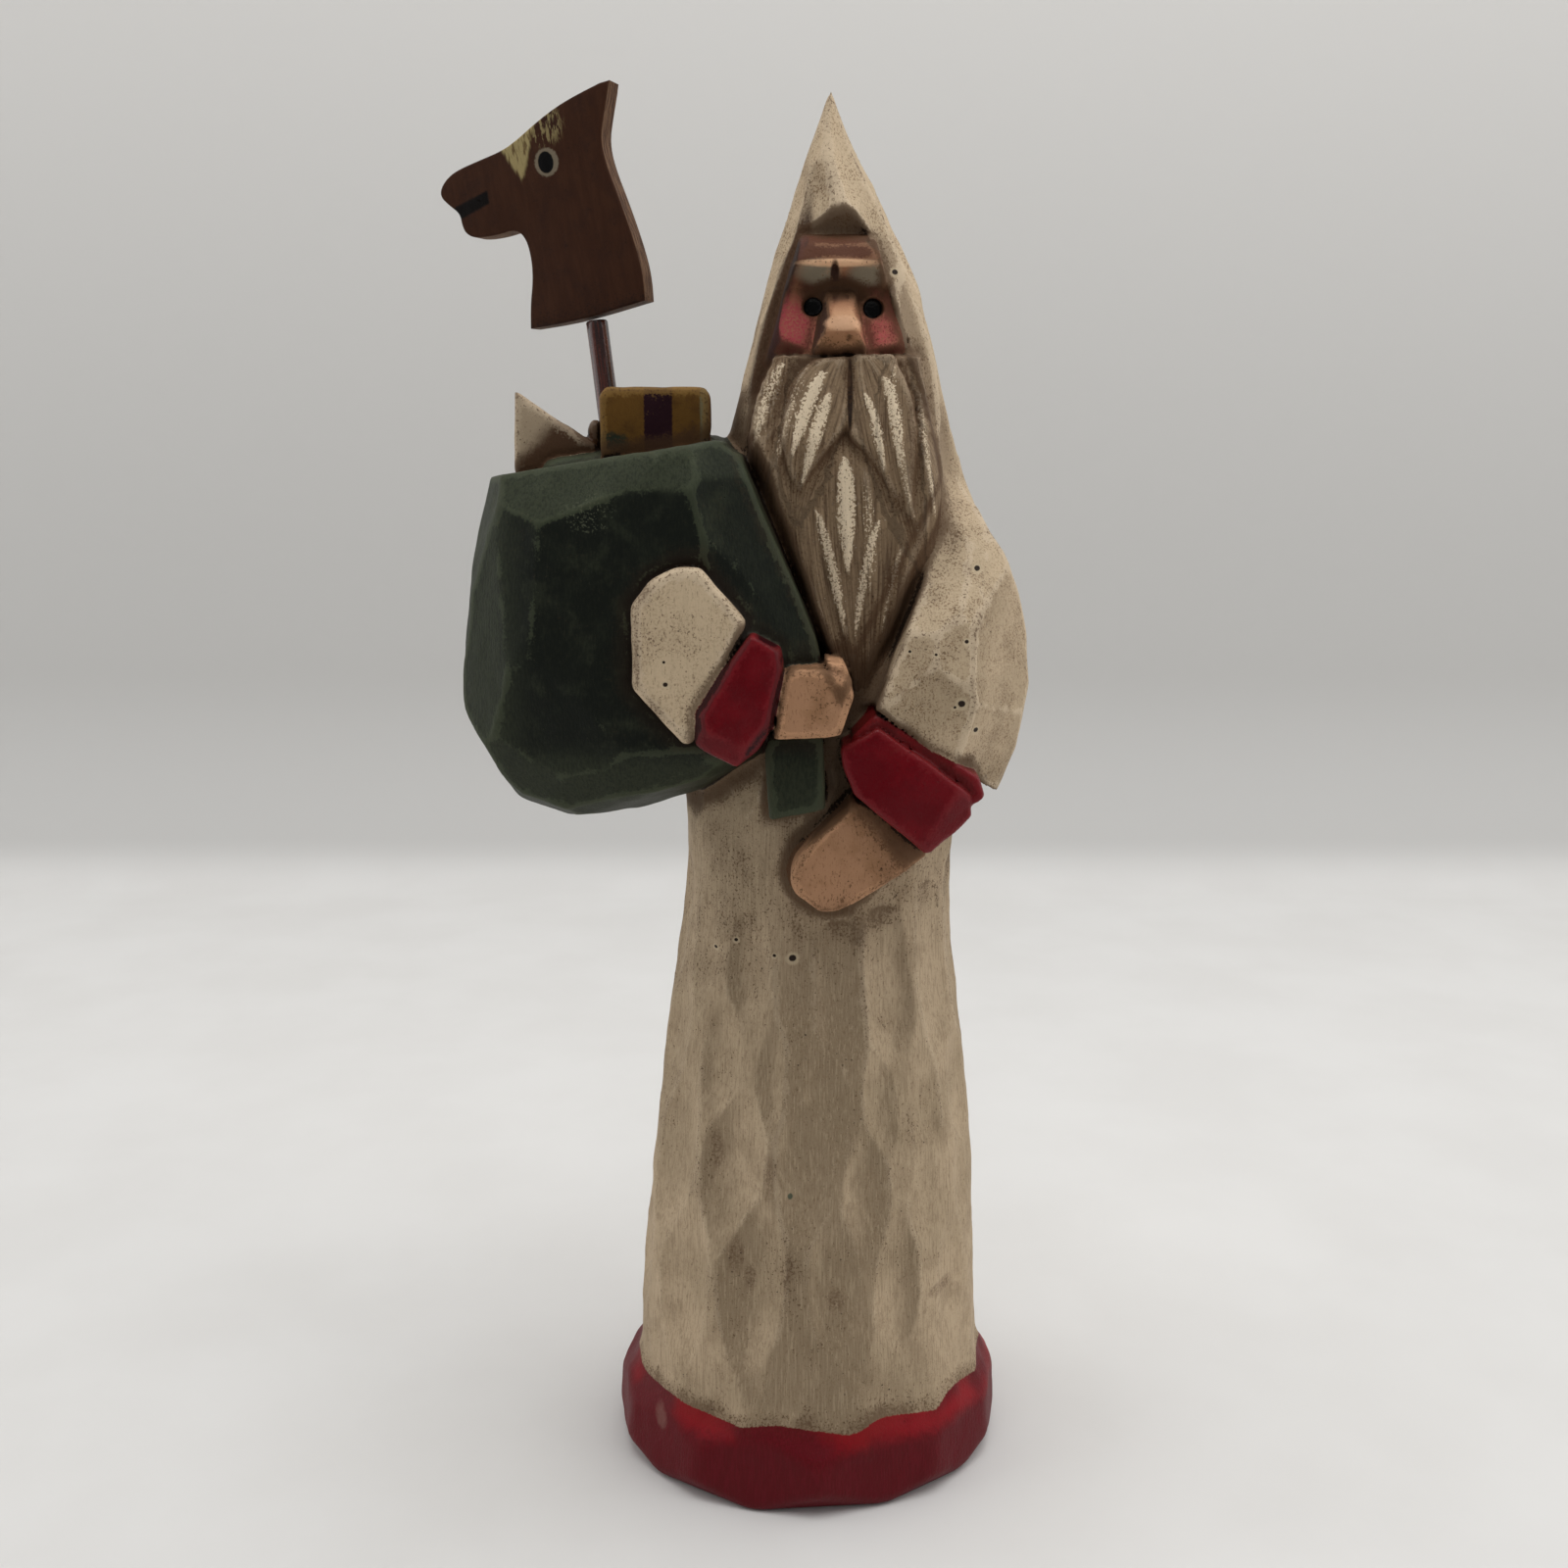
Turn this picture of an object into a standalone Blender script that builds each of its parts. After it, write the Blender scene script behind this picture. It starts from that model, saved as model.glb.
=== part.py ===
"""Folk figure of a santa with a sack, 250 mm tall: one cast body in the shape of a
knife-cut carving, with a toy horse's head sawn from thin board on a round stick.

Everything is hewn as a carver would do it: each mass starts as a block and is cut back
by flat knife cuts, then the masses are joined into one body. The figure faces -Y and
stands on the origin. Lengths are millimetres until a point is made, then metres.
"""

import math

import bmesh
import bpy
from mathutils import Matrix, Vector

MM = 0.001

# The block that every mass is hewn from, and the wobble of a knife by hand
BLOCK = 700.0
HAND_WOBBLE = 0.45

# Heights of the figure
TALL = 250.0
HEM_TOP = 19.0
WAIST = 118.0
HOOD_FOOT = 157.0

# The foot of the robe: half its width and half its depth on the floor
FOOT_WIDE = 36.6
FOOT_DEEP = 31.6

# The toy horse: board, stick, and the clearance that a glued joint leaves
BOARD_THICK = 4.8
BOARD_TURN = 17.0
BOARD_LEAN = 9.0
STICK_TOP = (-38.2, 3.0, 212.4)
STICK_ACROSS = 3.9
STICK_LEAN = 6.5
STICK_FOOT_HEIGHT = 182.5
GLUE_GAP = 0.35


def clear_scene():
    for item in list(bpy.data.objects):
        bpy.data.objects.remove(item, do_unlink=True)


def collection(name):
    made = bpy.data.collections.new(name)
    bpy.context.scene.collection.children.link(made)
    return made


def paint(name, colour, roughness):
    """A plain painted surface."""
    made = bpy.data.materials.new(name)
    made.use_nodes = True
    shader = made.node_tree.nodes["Principled BSDF"]
    shader.inputs["Base Color"].default_value = (*colour, 1.0)
    shader.inputs["Roughness"].default_value = roughness
    shader.inputs["Metallic"].default_value = 0.0
    return made


def facing(azimuth, tilt=0.0):
    """The way that a cut looks: azimuth 0 is the front, 90 the figure's left, tilt is upwards."""
    turn, rise = math.radians(azimuth), math.radians(tilt)
    return Vector((math.sin(turn) * math.cos(rise), -math.cos(turn) * math.cos(rise), math.sin(rise)))


def wobble(seed, amount=HAND_WOBBLE):
    """The unevenness of the knife, the same for the same cut each time."""
    return amount * math.sin(12.9898 * seed + 78.233)


def cut(x, y, z, azimuth, tilt=0.0):
    """One knife cut: a flat through a point, looking in a direction."""
    return Vector((x, y, z)), facing(azimuth, tilt)


def turned_cuts(rows, sides, seed):
    """Cuts all round an upright mass. A row: height, middle x, middle y, half width, half depth, tilt."""
    cuts = []
    for level, (height, mid_x, mid_y, wide, deep, tilt) in enumerate(rows):
        for side in range(sides):
            number = seed + 31 * level + side
            azimuth = (side + 0.5 * (level % 2)) * 360.0 / sides + wobble(number, 5.0)
            turn = math.radians(azimuth)
            reach = math.hypot(wide * math.sin(turn), deep * math.cos(turn)) + wobble(number + 7)
            point = Vector((mid_x + reach * math.sin(turn), mid_y - reach * math.cos(turn), height))
            cuts.append((point, facing(azimuth, tilt + wobble(number + 3, 1.2))))
    return cuts


def pillow_cuts(outline, front, rim, back, inset, steps=1, back_inset=None, seed=0, unevenness=0.0):
    """Cuts for a mass with a flat outline, seen from the front, whose edges are rounded off by knife.

    outline holds (x, z) corners in order round it. A third number is the front inset of the edge that
    starts there, and a fourth its back inset.
    The mass is widest at y = rim, and its edges turn over to flat faces at y = front and y = back,
    each in the number of steps given.
    """
    cuts = [cut(0, front, 0, 0), cut(0, back, 0, 180)]
    corners = [corner[:2] for corner in outline]
    edges = list(zip(corners, corners[1:] + corners[:1]))
    way_round = 1.0 if sum(x1 * z2 - x2 * z1 for (x1, z1), (x2, z2) in edges) > 0 else -1.0
    back_inset = inset if back_inset is None else back_inset
    for number, ((x1, z1), (x2, z2)) in enumerate(edges):
        length = math.hypot(x2 - x1, z2 - z1)
        out = Vector(((z2 - z1) * way_round / length, 0.0, (x1 - x2) * way_round / length))
        edge = Vector(((x1 + x2) / 2, rim, (z1 + z2) / 2))
        cuts.append((edge, out))
        own = outline[number][2:]
        front_run = own[0] if own else inset
        back_run = own[1] if len(own) > 1 else back_inset
        for end, run in ((front, front_run), (back, back_run)):
            if run <= 0:
                continue
            for step in range(1, steps + 1):
                uneven = wobble(seed + 5 * number + step, 12 * unevenness)
                angle = math.radians(90.0 * step / (steps + 1) + uneven)
                across = run * (math.cos(angle) - 1.0) + wobble(seed + number, 2 * unevenness)
                along = (end - rim) * math.sin(angle)
                normal = out * (math.cos(angle) / run) + Vector((0, math.sin(angle) / (end - rim), 0))
                cuts.append((edge + out * min(across, 0.0) + Vector((0, along, 0)), normal.normalized()))
    return cuts


def hew(name, cuts, place, material):
    """A block cut back by flat cuts until only the mass is left."""
    mesh = bmesh.new()
    bmesh.ops.create_cube(mesh, size=BLOCK * MM)
    for point, normal in cuts:
        whole = mesh.verts[:] + mesh.edges[:] + mesh.faces[:]
        sliced = bmesh.ops.bisect_plane(
            mesh, geom=whole, dist=1e-6, plane_co=point * MM, plane_no=normal, clear_outer=True
        )
        rim = [item for item in sliced["geom_cut"] if isinstance(item, bmesh.types.BMEdge)]
        if rim:
            bmesh.ops.edgeloop_fill(mesh, edges=rim)
    bmesh.ops.remove_doubles(mesh, verts=mesh.verts[:], dist=2e-5)
    bmesh.ops.recalc_face_normals(mesh, faces=mesh.faces[:])
    made = bpy.data.objects.new(name, bpy.data.meshes.new(name))
    mesh.to_mesh(made.data)
    mesh.free()
    made.data.materials.append(material)
    place.objects.link(made)
    return made


def as_cutter(item):
    item.hide_render = True
    item.display_type = "WIRE"
    return item


def combine(body, tools, operation):
    for tool in tools:
        change = body.modifiers.new(tool.name, "BOOLEAN")
        change.operation = operation
        change.solver = "EXACT"
        change.material_mode = "TRANSFER"
        change.object = as_cutter(tool)


def robe_masses(place, cloth, hem_paint):
    """The hem band, the skirt of the robe, the trunk under the arms and the pointed hood."""
    hem_rows = [
        (1.0, 0.0, 0.0, FOOT_WIDE - 0.5, FOOT_DEEP - 0.5, -28.0),
        (6.0, 0.0, 0.0, FOOT_WIDE, FOOT_DEEP, 3.0),
        (14.5, 0.0, 0.0, FOOT_WIDE - 1.0, FOOT_DEEP - 0.9, 34.0),
    ]
    skirt_rows = [
        (20.0, 0.1, 0.0, 32.6, 28.2, 1.0),
        (38.0, 0.4, 0.0, 32.2, 27.6, 3.0),
        (58.0, 0.9, -0.1, 30.7, 26.5, 5.8),
        (80.0, 1.3, -0.3, 28.2, 25.0, 7.0),
        (98.0, 1.1, -0.5, 25.8, 23.8, 7.4),
        (116.0, 1.1, -0.6, 23.8, 22.6, 8.0),
    ]
    trunk_rows = [
        (WAIST, 1.6, 0.4, 23.6, 21.2, -12.0),
        (136.0, 2.4, 0.4, 25.6, 21.6, -1.0),
        (154.0, 3.4, 0.8, 26.0, 21.0, 4.0),
        (170.0, 4.6, 0.8, 24.8, 20.0, 11.0),
        (186.0, 4.9, 0.6, 20.8, 18.8, 14.0),
    ]
    hood_rows = [
        (TALL - 83.0, 5.3, -0.4, 23.0, 20.6, -22.0),
        (TALL - 74.0, 5.3, -1.4, 22.4, 20.8, 7.0),
        (TALL - 60.0, 4.9, -1.0, 19.8, 19.4, 11.0),
        (TALL - 46.0, 4.7, -0.8, 16.6, 17.5, 13.5),
        (TALL - 33.0, 4.7, -0.9, 13.4, 14.0, 17.5),
        (TALL - 22.0, 4.2, -1.0, 9.8, 10.9, 20.5),
        (TALL - 11.0, 3.1, -0.4, 5.3, 6.0, 24.5),
    ]
    hem = hew(
        "hem_mass",
        turned_cuts(hem_rows, 15, 100) + [cut(0, 0, 0, 0, -90), cut(0, 0, HEM_TOP, 0, 90)],
        place,
        hem_paint,
    )
    skirt = hew(
        "skirt_mass",
        turned_cuts(skirt_rows, 14, 200) + [cut(0, 0, 12, 0, -90), cut(0, 0, 140, 0, 90)],
        place,
        cloth,
    )
    trunk = hew(
        "trunk_mass",
        turned_cuts(trunk_rows, 12, 300) + [cut(0, 0, 104, 0, -90), cut(0, 0, 191, 0, 90)],
        place,
        cloth,
    )
    hood = hew(
        "hood_mass",
        turned_cuts(hood_rows, 10, 400) + [cut(0, 0, HOOD_FOOT, 0, -90)],
        place,
        cloth,
    )
    return [hem, skirt, trunk, hood]


def hood_opening(place, cloth):
    """The recess under the hood that the face and the beard sit in."""
    outline = [(4.0, 230.2), (-2.9, 224.2), (-8.4, 211.4), (-12.6, 199.0), (-13.0, 186.0), (4.0, 150.0),
               (23.5, 186.0), (20.6, 197.0), (16.9, 206.6), (13.9, 213.8), (10.4, 222.6)]
    cuts = pillow_cuts(outline, -60.0, -30.0, -9.0, 0.0)
    cuts.append(cut(4.0, -14.0, 230.0, 180, 42))
    return hew("hood_opening", cuts, place, cloth)


def face_masses(place, flesh):
    """A brow that overhangs the eyes, flat cheeks and a wedge of a nose."""
    sides = [cut(-2.9, -14.2, 221.0, 278, 14), cut(10.5, -14.2, 221.0, 82, 14)]
    brow = hew(
        "brow_mass",
        sides + [
            cut(4, -15.2, 220.6, 0, 24),
            cut(4, -13.4, 224.6, 0, 64),
            cut(4, -15.2, 220.6, 0, -38),
            cut(4, -7, 220, 180),
            cut(-1.9, -14.0, 223.6, 300, 40),
            cut(9.4, -14.0, 223.6, 60, 40),
        ],
        place,
        flesh,
    )
    cheeks = hew(
        "cheek_mass",
        sides + [
            cut(4, -12.2, 213.5, 0, 17),
            cut(4, -12.2, 218.5, 0, 50),
            cut(4, -6, 210, 180),
            cut(4, -12, 203.0, 0, -90),
            cut(-6.0, -13.0, 207.5, 310, -6),
            cut(13.8, -13.0, 207.5, 50, -6),
        ],
        place,
        flesh,
    )
    nose = hew(
        "nose_mass",
        [
            cut(3.9, -13.4, 215.4, 0, 34),
            cut(3.9, -18.6, 210.2, 0, -28),
            cut(3.9, -12, 206.4, 0, -90),
            cut(1.5, -18, 211.2, 300, 22),
            cut(6.5, -18, 211.2, 60, 22),
            cut(-0.7, -15, 208.6, 292, 16),
            cut(8.6, -15, 208.6, 68, 16),
            cut(3.9, -10, 210, 180),
        ],
        place,
        flesh,
    )
    return [brow, cheeks, nose]


def beard_masses(place, hair):
    """The long beard with the two lobes of the moustache over it."""
    beard = hew(
        "beard_mass",
        pillow_cuts(
            [(-6.6, 205.4), (-10.2, 197.5), (-11.6, 190.0), (-9.4, 182.0, 3), (-3.6, 167.0, 2),
             (1.0, 156.0, 2), (6.0, 146.5, 2), (10.0, 146.5, 3), (13.0, 153.5), (18.8, 167.5),
             (21.0, 176.0), (21.6, 182.5), (19.6, 192.0), (15.6, 205.4)],
            -22.4, -12.0, -4.0, 4.0, steps=2, back_inset=0.0,
        ) + [cut(5, -16.6, 205.4, 0, 17), cut(5, -21.5, 150, 0, -14)],
        place,
        hair,
    )
    lobes = [
        ("moustache_right_mass",
         [(5.6, 205.0), (-0.6, 204.6), (-5.2, 197.0), (-6.9, 190.5), (-6.6, 186.5), (-2.9, 178.2),
          (5.6, 192.8)]),
        ("moustache_left_mass",
         [(6.0, 205.0), (13.4, 205.2), (17.2, 196.0), (18.7, 187.0), (18.0, 178.0), (16.8, 172.8),
          (6.0, 191.6)]),
    ]
    made = [beard]
    for name, outline in lobes:
        cuts = pillow_cuts(outline, -22.8, -17.0, -10.0, 3.2, steps=1, back_inset=0.0)
        cuts.append(cut(5, -18.4, 205.4, 0, 15))
        made.append(hew(name, cuts, place, hair))
    return made


def beard_grooves(place, hair):
    """V cuts between the locks: each runs from one end to the other, on the face of the beard."""
    runs = [
        ((2.6, 200.5), (-3.6, 184.0), 1.7),
        ((5.0, 197.0), (-1.6, 181.5), 1.3),
        ((-1.8, 201.0), (-5.8, 189.5), 1.3),
        ((9.0, 199.5), (12.4, 181.0), 1.7),
        ((12.6, 201.5), (16.4, 178.0), 1.6),
        ((6.6, 197.5), (9.4, 186.5), 1.2),
        ((5.6, 186.5), (6.2, 163.0), 2.0),
        ((1.4, 178.0), (5.2, 160.0), 1.6),
        ((11.6, 178.0), (8.2, 157.0), 1.7),
        ((15.4, 171.0), (11.2, 158.5), 1.5),
    ]
    made = []
    for number, ((x1, z1), (x2, z2), wide) in enumerate(runs):
        along = Vector((x2 - x1, 0, z2 - z1)).normalized()
        side = Vector((-along.z, 0, along.x))
        middle = Vector(((x1 + x2) / 2, 0, (z1 + z2) / 2))
        depth = -20.4 - 0.018 * (200.0 - middle.z)
        cuts = [
            (Vector((x1, 0, z1)), (-along + Vector((0, 1.6, 0))).normalized()),
            (Vector((x2, 0, z2)), (along + Vector((0, 1.6, 0))).normalized()),
        ]
        cuts = [(point + Vector((0, depth - 1.0, 0)), normal) for point, normal in cuts]
        floor = middle + Vector((0, depth, 0))
        for way in (-1.0, 1.0):
            cuts.append((floor, (side * way + Vector((0, 0.45 * wide, 0))).normalized()))
        cuts.append(cut(0, -40, 0, 0))
        made.append(hew(f"beard_groove_{number}", cuts, place, hair))
    return made


def arm_masses(place, cloth, cuff_paint, flesh):
    """Both sleeves, cuffs and hands: one holds the neck of the sack, the other lies on the robe."""
    left_sleeve = hew(
        "left_sleeve_mass",
        pillow_cuts(
            [(24.6, 190.5), (27.6, 183.0), (31.6, 174.4), (35.6, 165.7), (37.6, 157.0),
             (38.0, 148.0), (36.3, 138.5), (31.5, 132.2), (28.6, 133.6, 0), (10.4, 145.4, 0),
             (8.3, 147.6, 0)],
            -31.0, -6.0, 15.0, 9.0, steps=2, back_inset=13.0, seed=11, unevenness=0.8,
        ) + [
            cut(20.0, -30.0, 146.0, 8, -2),
            cut(26.0, -27.4, 158.0, 18, 13),
            cut(14.0, -28.2, 152.0, 335, 8),
            cut(33.4, -19.0, 156.0, 54, 6),
            cut(33.2, -19.0, 141.0, 50, -14),
            cut(29.6, -20.0, 170.0, 38, 26),
            cut(22.4, -23.6, 171.0, 6, 22),
            cut(25.0, -16.5, 184.0, 24, 30),
            cut(27.0, 13.0, 165.0, 158, 14),
        ],
        place,
        cloth,
    )
    left_cuff = hew(
        "left_cuff_mass",
        pillow_cuts(
            [(11.4, 146.8), (4.6, 141.6), (5.4, 135.8), (7.2, 132.2), (18.9, 123.4, 2.2),
             (26.1, 129.4, 1.6), (28.2, 135.4, 2.4)],
            -33.0, -30.6, -12.0, 1.1, steps=1, back_inset=0.0,
        ) + [cut(16.0, -33.0, 134.6, 0, 6), cut(23.4, -32.8, 130.0, 34, -4)],
        place,
        cuff_paint,
    )
    left_hand = hew(
        "left_hand_mass",
        pillow_cuts(
            [(6.4, 132.6), (2.6, 128.3), (-1.4, 124.2), (-3.2, 121.5), (-4.0, 118.2), (-3.2, 115.8),
             (1.4, 112.4), (4.2, 112.5), (11.0, 116.4), (19.2, 122.0), (17.0, 130.0)],
            -29.0, -27.4, -12.0, 1.2, steps=1, back_inset=0.0,
        ) + [cut(12.5, -29.0, 120.0, 24)],
        place,
        flesh,
    )
    right_sleeve = hew(
        "right_sleeve_mass",
        pillow_cuts(
            [(-29.4, 165.0), (-26.4, 168.9), (-21.8, 171.2), (-18.4, 171.1), (-15.0, 167.4),
             (-11.2, 162.4), (-11.4, 160.6), (-19.6, 142.6), (-21.4, 142.6), (-29.5, 151.8)],
            -36.0, -34.6, -20.0, 1.3, steps=1, back_inset=0.0,
        ),
        place,
        cloth,
    )
    right_cuff = hew(
        "right_cuff_mass",
        pillow_cuts(
            [(-9.4, 160.4), (-5.0, 157.2), (-4.6, 152.8), (-6.6, 143.6), (-12.6, 138.8),
             (-17.4, 141.2), (-19.6, 142.9), (-19.4, 148.4), (-16.6, 153.6)],
            -37.2, -35.6, -20.0, 1.6, steps=1, back_inset=0.0,
        ) + [cut(-12.5, -37.2, 143.2, 345, -24), cut(-6.2, -36.6, 150.0, 42, 6)],
        place,
        cuff_paint,
    )
    right_fist = hew(
        "right_fist_mass",
        pillow_cuts(
            [(-5.4, 154.2), (-3.8, 155.0), (2.0, 155.0), (5.6, 153.4), (6.3, 150.6), (4.2, 144.2),
             (1.4, 143.7), (-7.0, 143.5)],
            -36.4, -35.4, -18.0, 0.9, steps=1, back_inset=0.0,
        ),
        place,
        flesh,
    )
    knuckle = hew(
        "right_knuckle_mass",
        pillow_cuts(
            [(1.6, 156.0), (4.7, 155.6), (6.2, 152.6), (2.4, 150.5)],
            -35.6, -35.0, -18.0, 0.6, steps=1, back_inset=0.0,
        ),
        place,
        flesh,
    )
    return [left_sleeve, left_cuff, left_hand, right_sleeve, right_cuff, right_fist, knuckle]


def sack_masses(place, canvas):
    """The full sack over the right shoulder, its bunched mouth, and the end of its neck."""
    sack = hew(
        "sack_mass",
        pillow_cuts(
            [(-54.6, 185.2), (-57.0, 176.0), (-58.8, 166.0), (-59.9, 157.0), (-59.6, 147.6),
             (-57.4, 140.6), (-53.4, 133.6), (-49.4, 129.5), (-40.0, 126.0), (-33.0, 126.7, 9),
             (-16.0, 131.6, 7),
             (-4.0, 138.5, 4), (4.4, 152.0, 5), (2.8, 158.0, 6), (-1.6, 168.4, 7), (-5.4, 179.0, 8),
             (-10.2, 187.4, 8, 8), (-15.4, 191.2, 8, 4)],
            -32.0, -8.0, 21.0, 12.0, steps=2, back_inset=19.0, seed=23, unevenness=1.0,
        ) + [
            cut(-32.0, -31.2, 172.0, 0, 12),
            cut(-47.0, -29.5, 168.0, 332, 8),
            cut(-50.0, -26.5, 150.0, 322, -3),
            cut(-38.0, -31.0, 150.0, 348, -2),
            cut(-40.0, -29.6, 138.0, 344, -18),
            cut(-22.0, -31.0, 138.0, 6, -14),
            cut(-10.0, -31.4, 164.0, 14, 6),
            cut(-30.0, 19.5, 160.0, 176, 14),
            cut(-46.0, 14.0, 156.0, 226, 6),
            cut(-46.0, 12.0, 140.0, 218, -18),
            cut(-26.0, 17.0, 138.0, 176, -20),
            cut(-50.0, 4.0, 176.0, 238, 20),
        ],
        place,
        canvas,
    )
    mouth = hew(
        "sack_mouth_mass",
        pillow_cuts(
            [(-47.0, 178.0), (-49.0, 184.5), (-46.5, 188.8), (-16.8, 193.0), (-12.6, 189.8),
             (-14.0, 178.0)],
            -9.5, -5.0, 8.5, 1.6, steps=2, back_inset=6.5,
        ),
        place,
        canvas,
    )
    tail = hew(
        "sack_neck_mass",
        pillow_cuts(
            [(-8.1, 144.0), (1.4, 144.0), (1.9, 130.8), (-7.3, 129.2), (-8.1, 137.0)],
            -31.4, -30.6, -18.0, 0.7, steps=1, back_inset=0.0,
        ) + [cut(-3.0, -31.4, 135.2, 0, 5)],
        place,
        canvas,
    )
    return [sack, mouth, tail]


def toy_masses(place, mustard, cloth, lacquer):
    """What sticks out of the sack: a wrapped box, a pale three-cornered piece and a blob of glue."""
    gift = hew(
        "gift_mass",
        pillow_cuts(
            [(-36.6, 188.0), (-36.6, 198.9), (-35.4, 200.3), (-18.6, 200.3), (-17.6, 198.9),
             (-17.6, 188.0)],
            -10.6, -9.4, -0.6, 1.0, steps=1,
        ) + [cut(-17.8, -10.0, 194, 62)],
        place,
        mustard,
    )
    sail = hew(
        "sail_mass",
        pillow_cuts(
            [(-51.6, 200.0), (-37.6, 190.4), (-38.6, 183.0), (-52.2, 183.0)],
            -7.0, -6.0, -1.6, 0.8, steps=1,
        ),
        place,
        cloth,
    )
    blob = hew(
        "glue_mass",
        pillow_cuts(
            [(-39.3, 189.0), (-39.4, 194.0), (-38.4, 195.2), (-36.9, 194.6), (-36.6, 189.0)],
            -5.2, -3.6, 0.4, 1.0, steps=1,
        ),
        place,
        lacquer,
    )
    return [gift, sail, blob]


def drilled(name, foot, way, across, deep, place, material):
    """A round hole's shape: it starts at a point and runs one way."""
    mesh = bmesh.new()
    bmesh.ops.create_cone(
        mesh, cap_ends=True, segments=16, radius1=across / 2 * MM, radius2=across / 2 * MM, depth=deep * MM
    )
    turn = Vector((0, 0, 1)).rotation_difference(way).to_matrix().to_4x4()
    bmesh.ops.transform(mesh, verts=mesh.verts, matrix=Matrix.Translation((foot + way * deep / 2) * MM) @ turn)
    made = bpy.data.objects.new(name, bpy.data.meshes.new(name))
    mesh.to_mesh(made.data)
    mesh.free()
    made.data.materials.append(material)
    place.objects.link(made)
    return made


def eye_holes(place, material):
    """The eyes are two drilled dots."""
    made = []
    for name, x, z in (("right_eye", -0.1, 213.3), ("left_eye", 9.9, 213.1)):
        made.append(drilled(name, Vector((x, -16.0, z)), Vector((0, 1, 0)), 3.3, 5.4, place, material))
    return made


def leaning(angle):
    """The way up of something that leans towards the figure's right by an angle."""
    return Vector((-math.sin(math.radians(angle)), 0.0, math.cos(math.radians(angle))))


def stick_line():
    """The foot of the stick in the sack, the way it leans, and its length up to the board."""
    way = leaning(STICK_LEAN)
    top = Vector(STICK_TOP)
    length = (top.z - STICK_FOOT_HEIGHT) / way.z
    return top - way * length, way, length


def horse_stick(place, material):
    """The stick stops short of its hole's bottom, and of the board, by the gap that glue fills."""
    foot, way, length = stick_line()
    return drilled("horse_stick", foot + way * GLUE_GAP, way, STICK_ACROSS, length - GLUE_GAP, place, material)


def horse_head(place, material):
    """The sawn outline of the head, extruded to the board's thickness and set on the stick.

    Points are measured from the stick's axis at the board's lower edge: x towards the mane, z up the board.
    """
    neck_and_ear = [
        (10.5, 1.4), (10.8, 10.3), (9.0, 19.3), (7.4, 26.0), (7.3, 28.6), (9.7, 35.1), (10.7, 37.7),
        (8.9, 37.6), (3.5, 36.5), (-0.3, 35.4),
    ]
    forehead_and_nose = [
        (-4.2, 33.8), (-7.9, 32.0), (-11.1, 30.8), (-16.0, 30.1), (-19.9, 29.5), (-22.3, 28.7),
        (-24.2, 27.1), (-24.5, 25.6), (-23.1, 23.9), (-21.4, 22.2), (-21.4, 20.0), (-20.8, 18.5),
    ]
    chin_and_throat = [
        (-19.1, 17.6), (-15.1, 17.3), (-11.2, 17.6), (-9.6, 15.6), (-9.3, 12.0), (-9.8, 8.5),
        (-11.0, 4.8), (-11.9, 0.6), (-2.8, 0.3),
    ]
    outline = neck_and_ear + forehead_and_nose + chin_and_throat
    curve = bpy.data.curves.new("horse_outline", "CURVE")
    curve.dimensions = "2D"
    curve.fill_mode = "BOTH"
    curve.extrude = BOARD_THICK / 2 * MM
    line = curve.splines.new("POLY")
    line.points.add(len(outline) - 1)
    for point, (x, z) in zip(line.points, outline):
        point.co = (x * MM, z * MM, 0.0, 1.0)
    line.use_cyclic_u = True
    drawn = bpy.data.objects.new("horse_outline", curve)
    place.objects.link(drawn)
    graph = bpy.context.evaluated_depsgraph_get()
    board = bpy.data.meshes.new_from_object(drawn.evaluated_get(graph))
    bpy.data.objects.remove(drawn)
    upright = Matrix.Rotation(math.radians(90), 4, "X")
    turned = Matrix.Rotation(math.radians(-BOARD_TURN), 4, "Z")
    leaned = Matrix.Rotation(math.radians(-BOARD_LEAN), 4, "Y")
    seated = Matrix.Translation(Vector(STICK_TOP) * MM)
    mesh = bmesh.new()
    mesh.from_mesh(board)
    bmesh.ops.remove_doubles(mesh, verts=mesh.verts[:], dist=1e-6)
    bmesh.ops.recalc_face_normals(mesh, faces=mesh.faces[:])
    bmesh.ops.transform(mesh, verts=mesh.verts, matrix=seated @ leaned @ turned @ upright)
    mesh.to_mesh(board)
    mesh.free()
    made = bpy.data.objects.new("horse_head", board)
    made.data.materials.clear()
    made.data.materials.append(material)
    place.objects.link(made)
    return made


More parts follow.
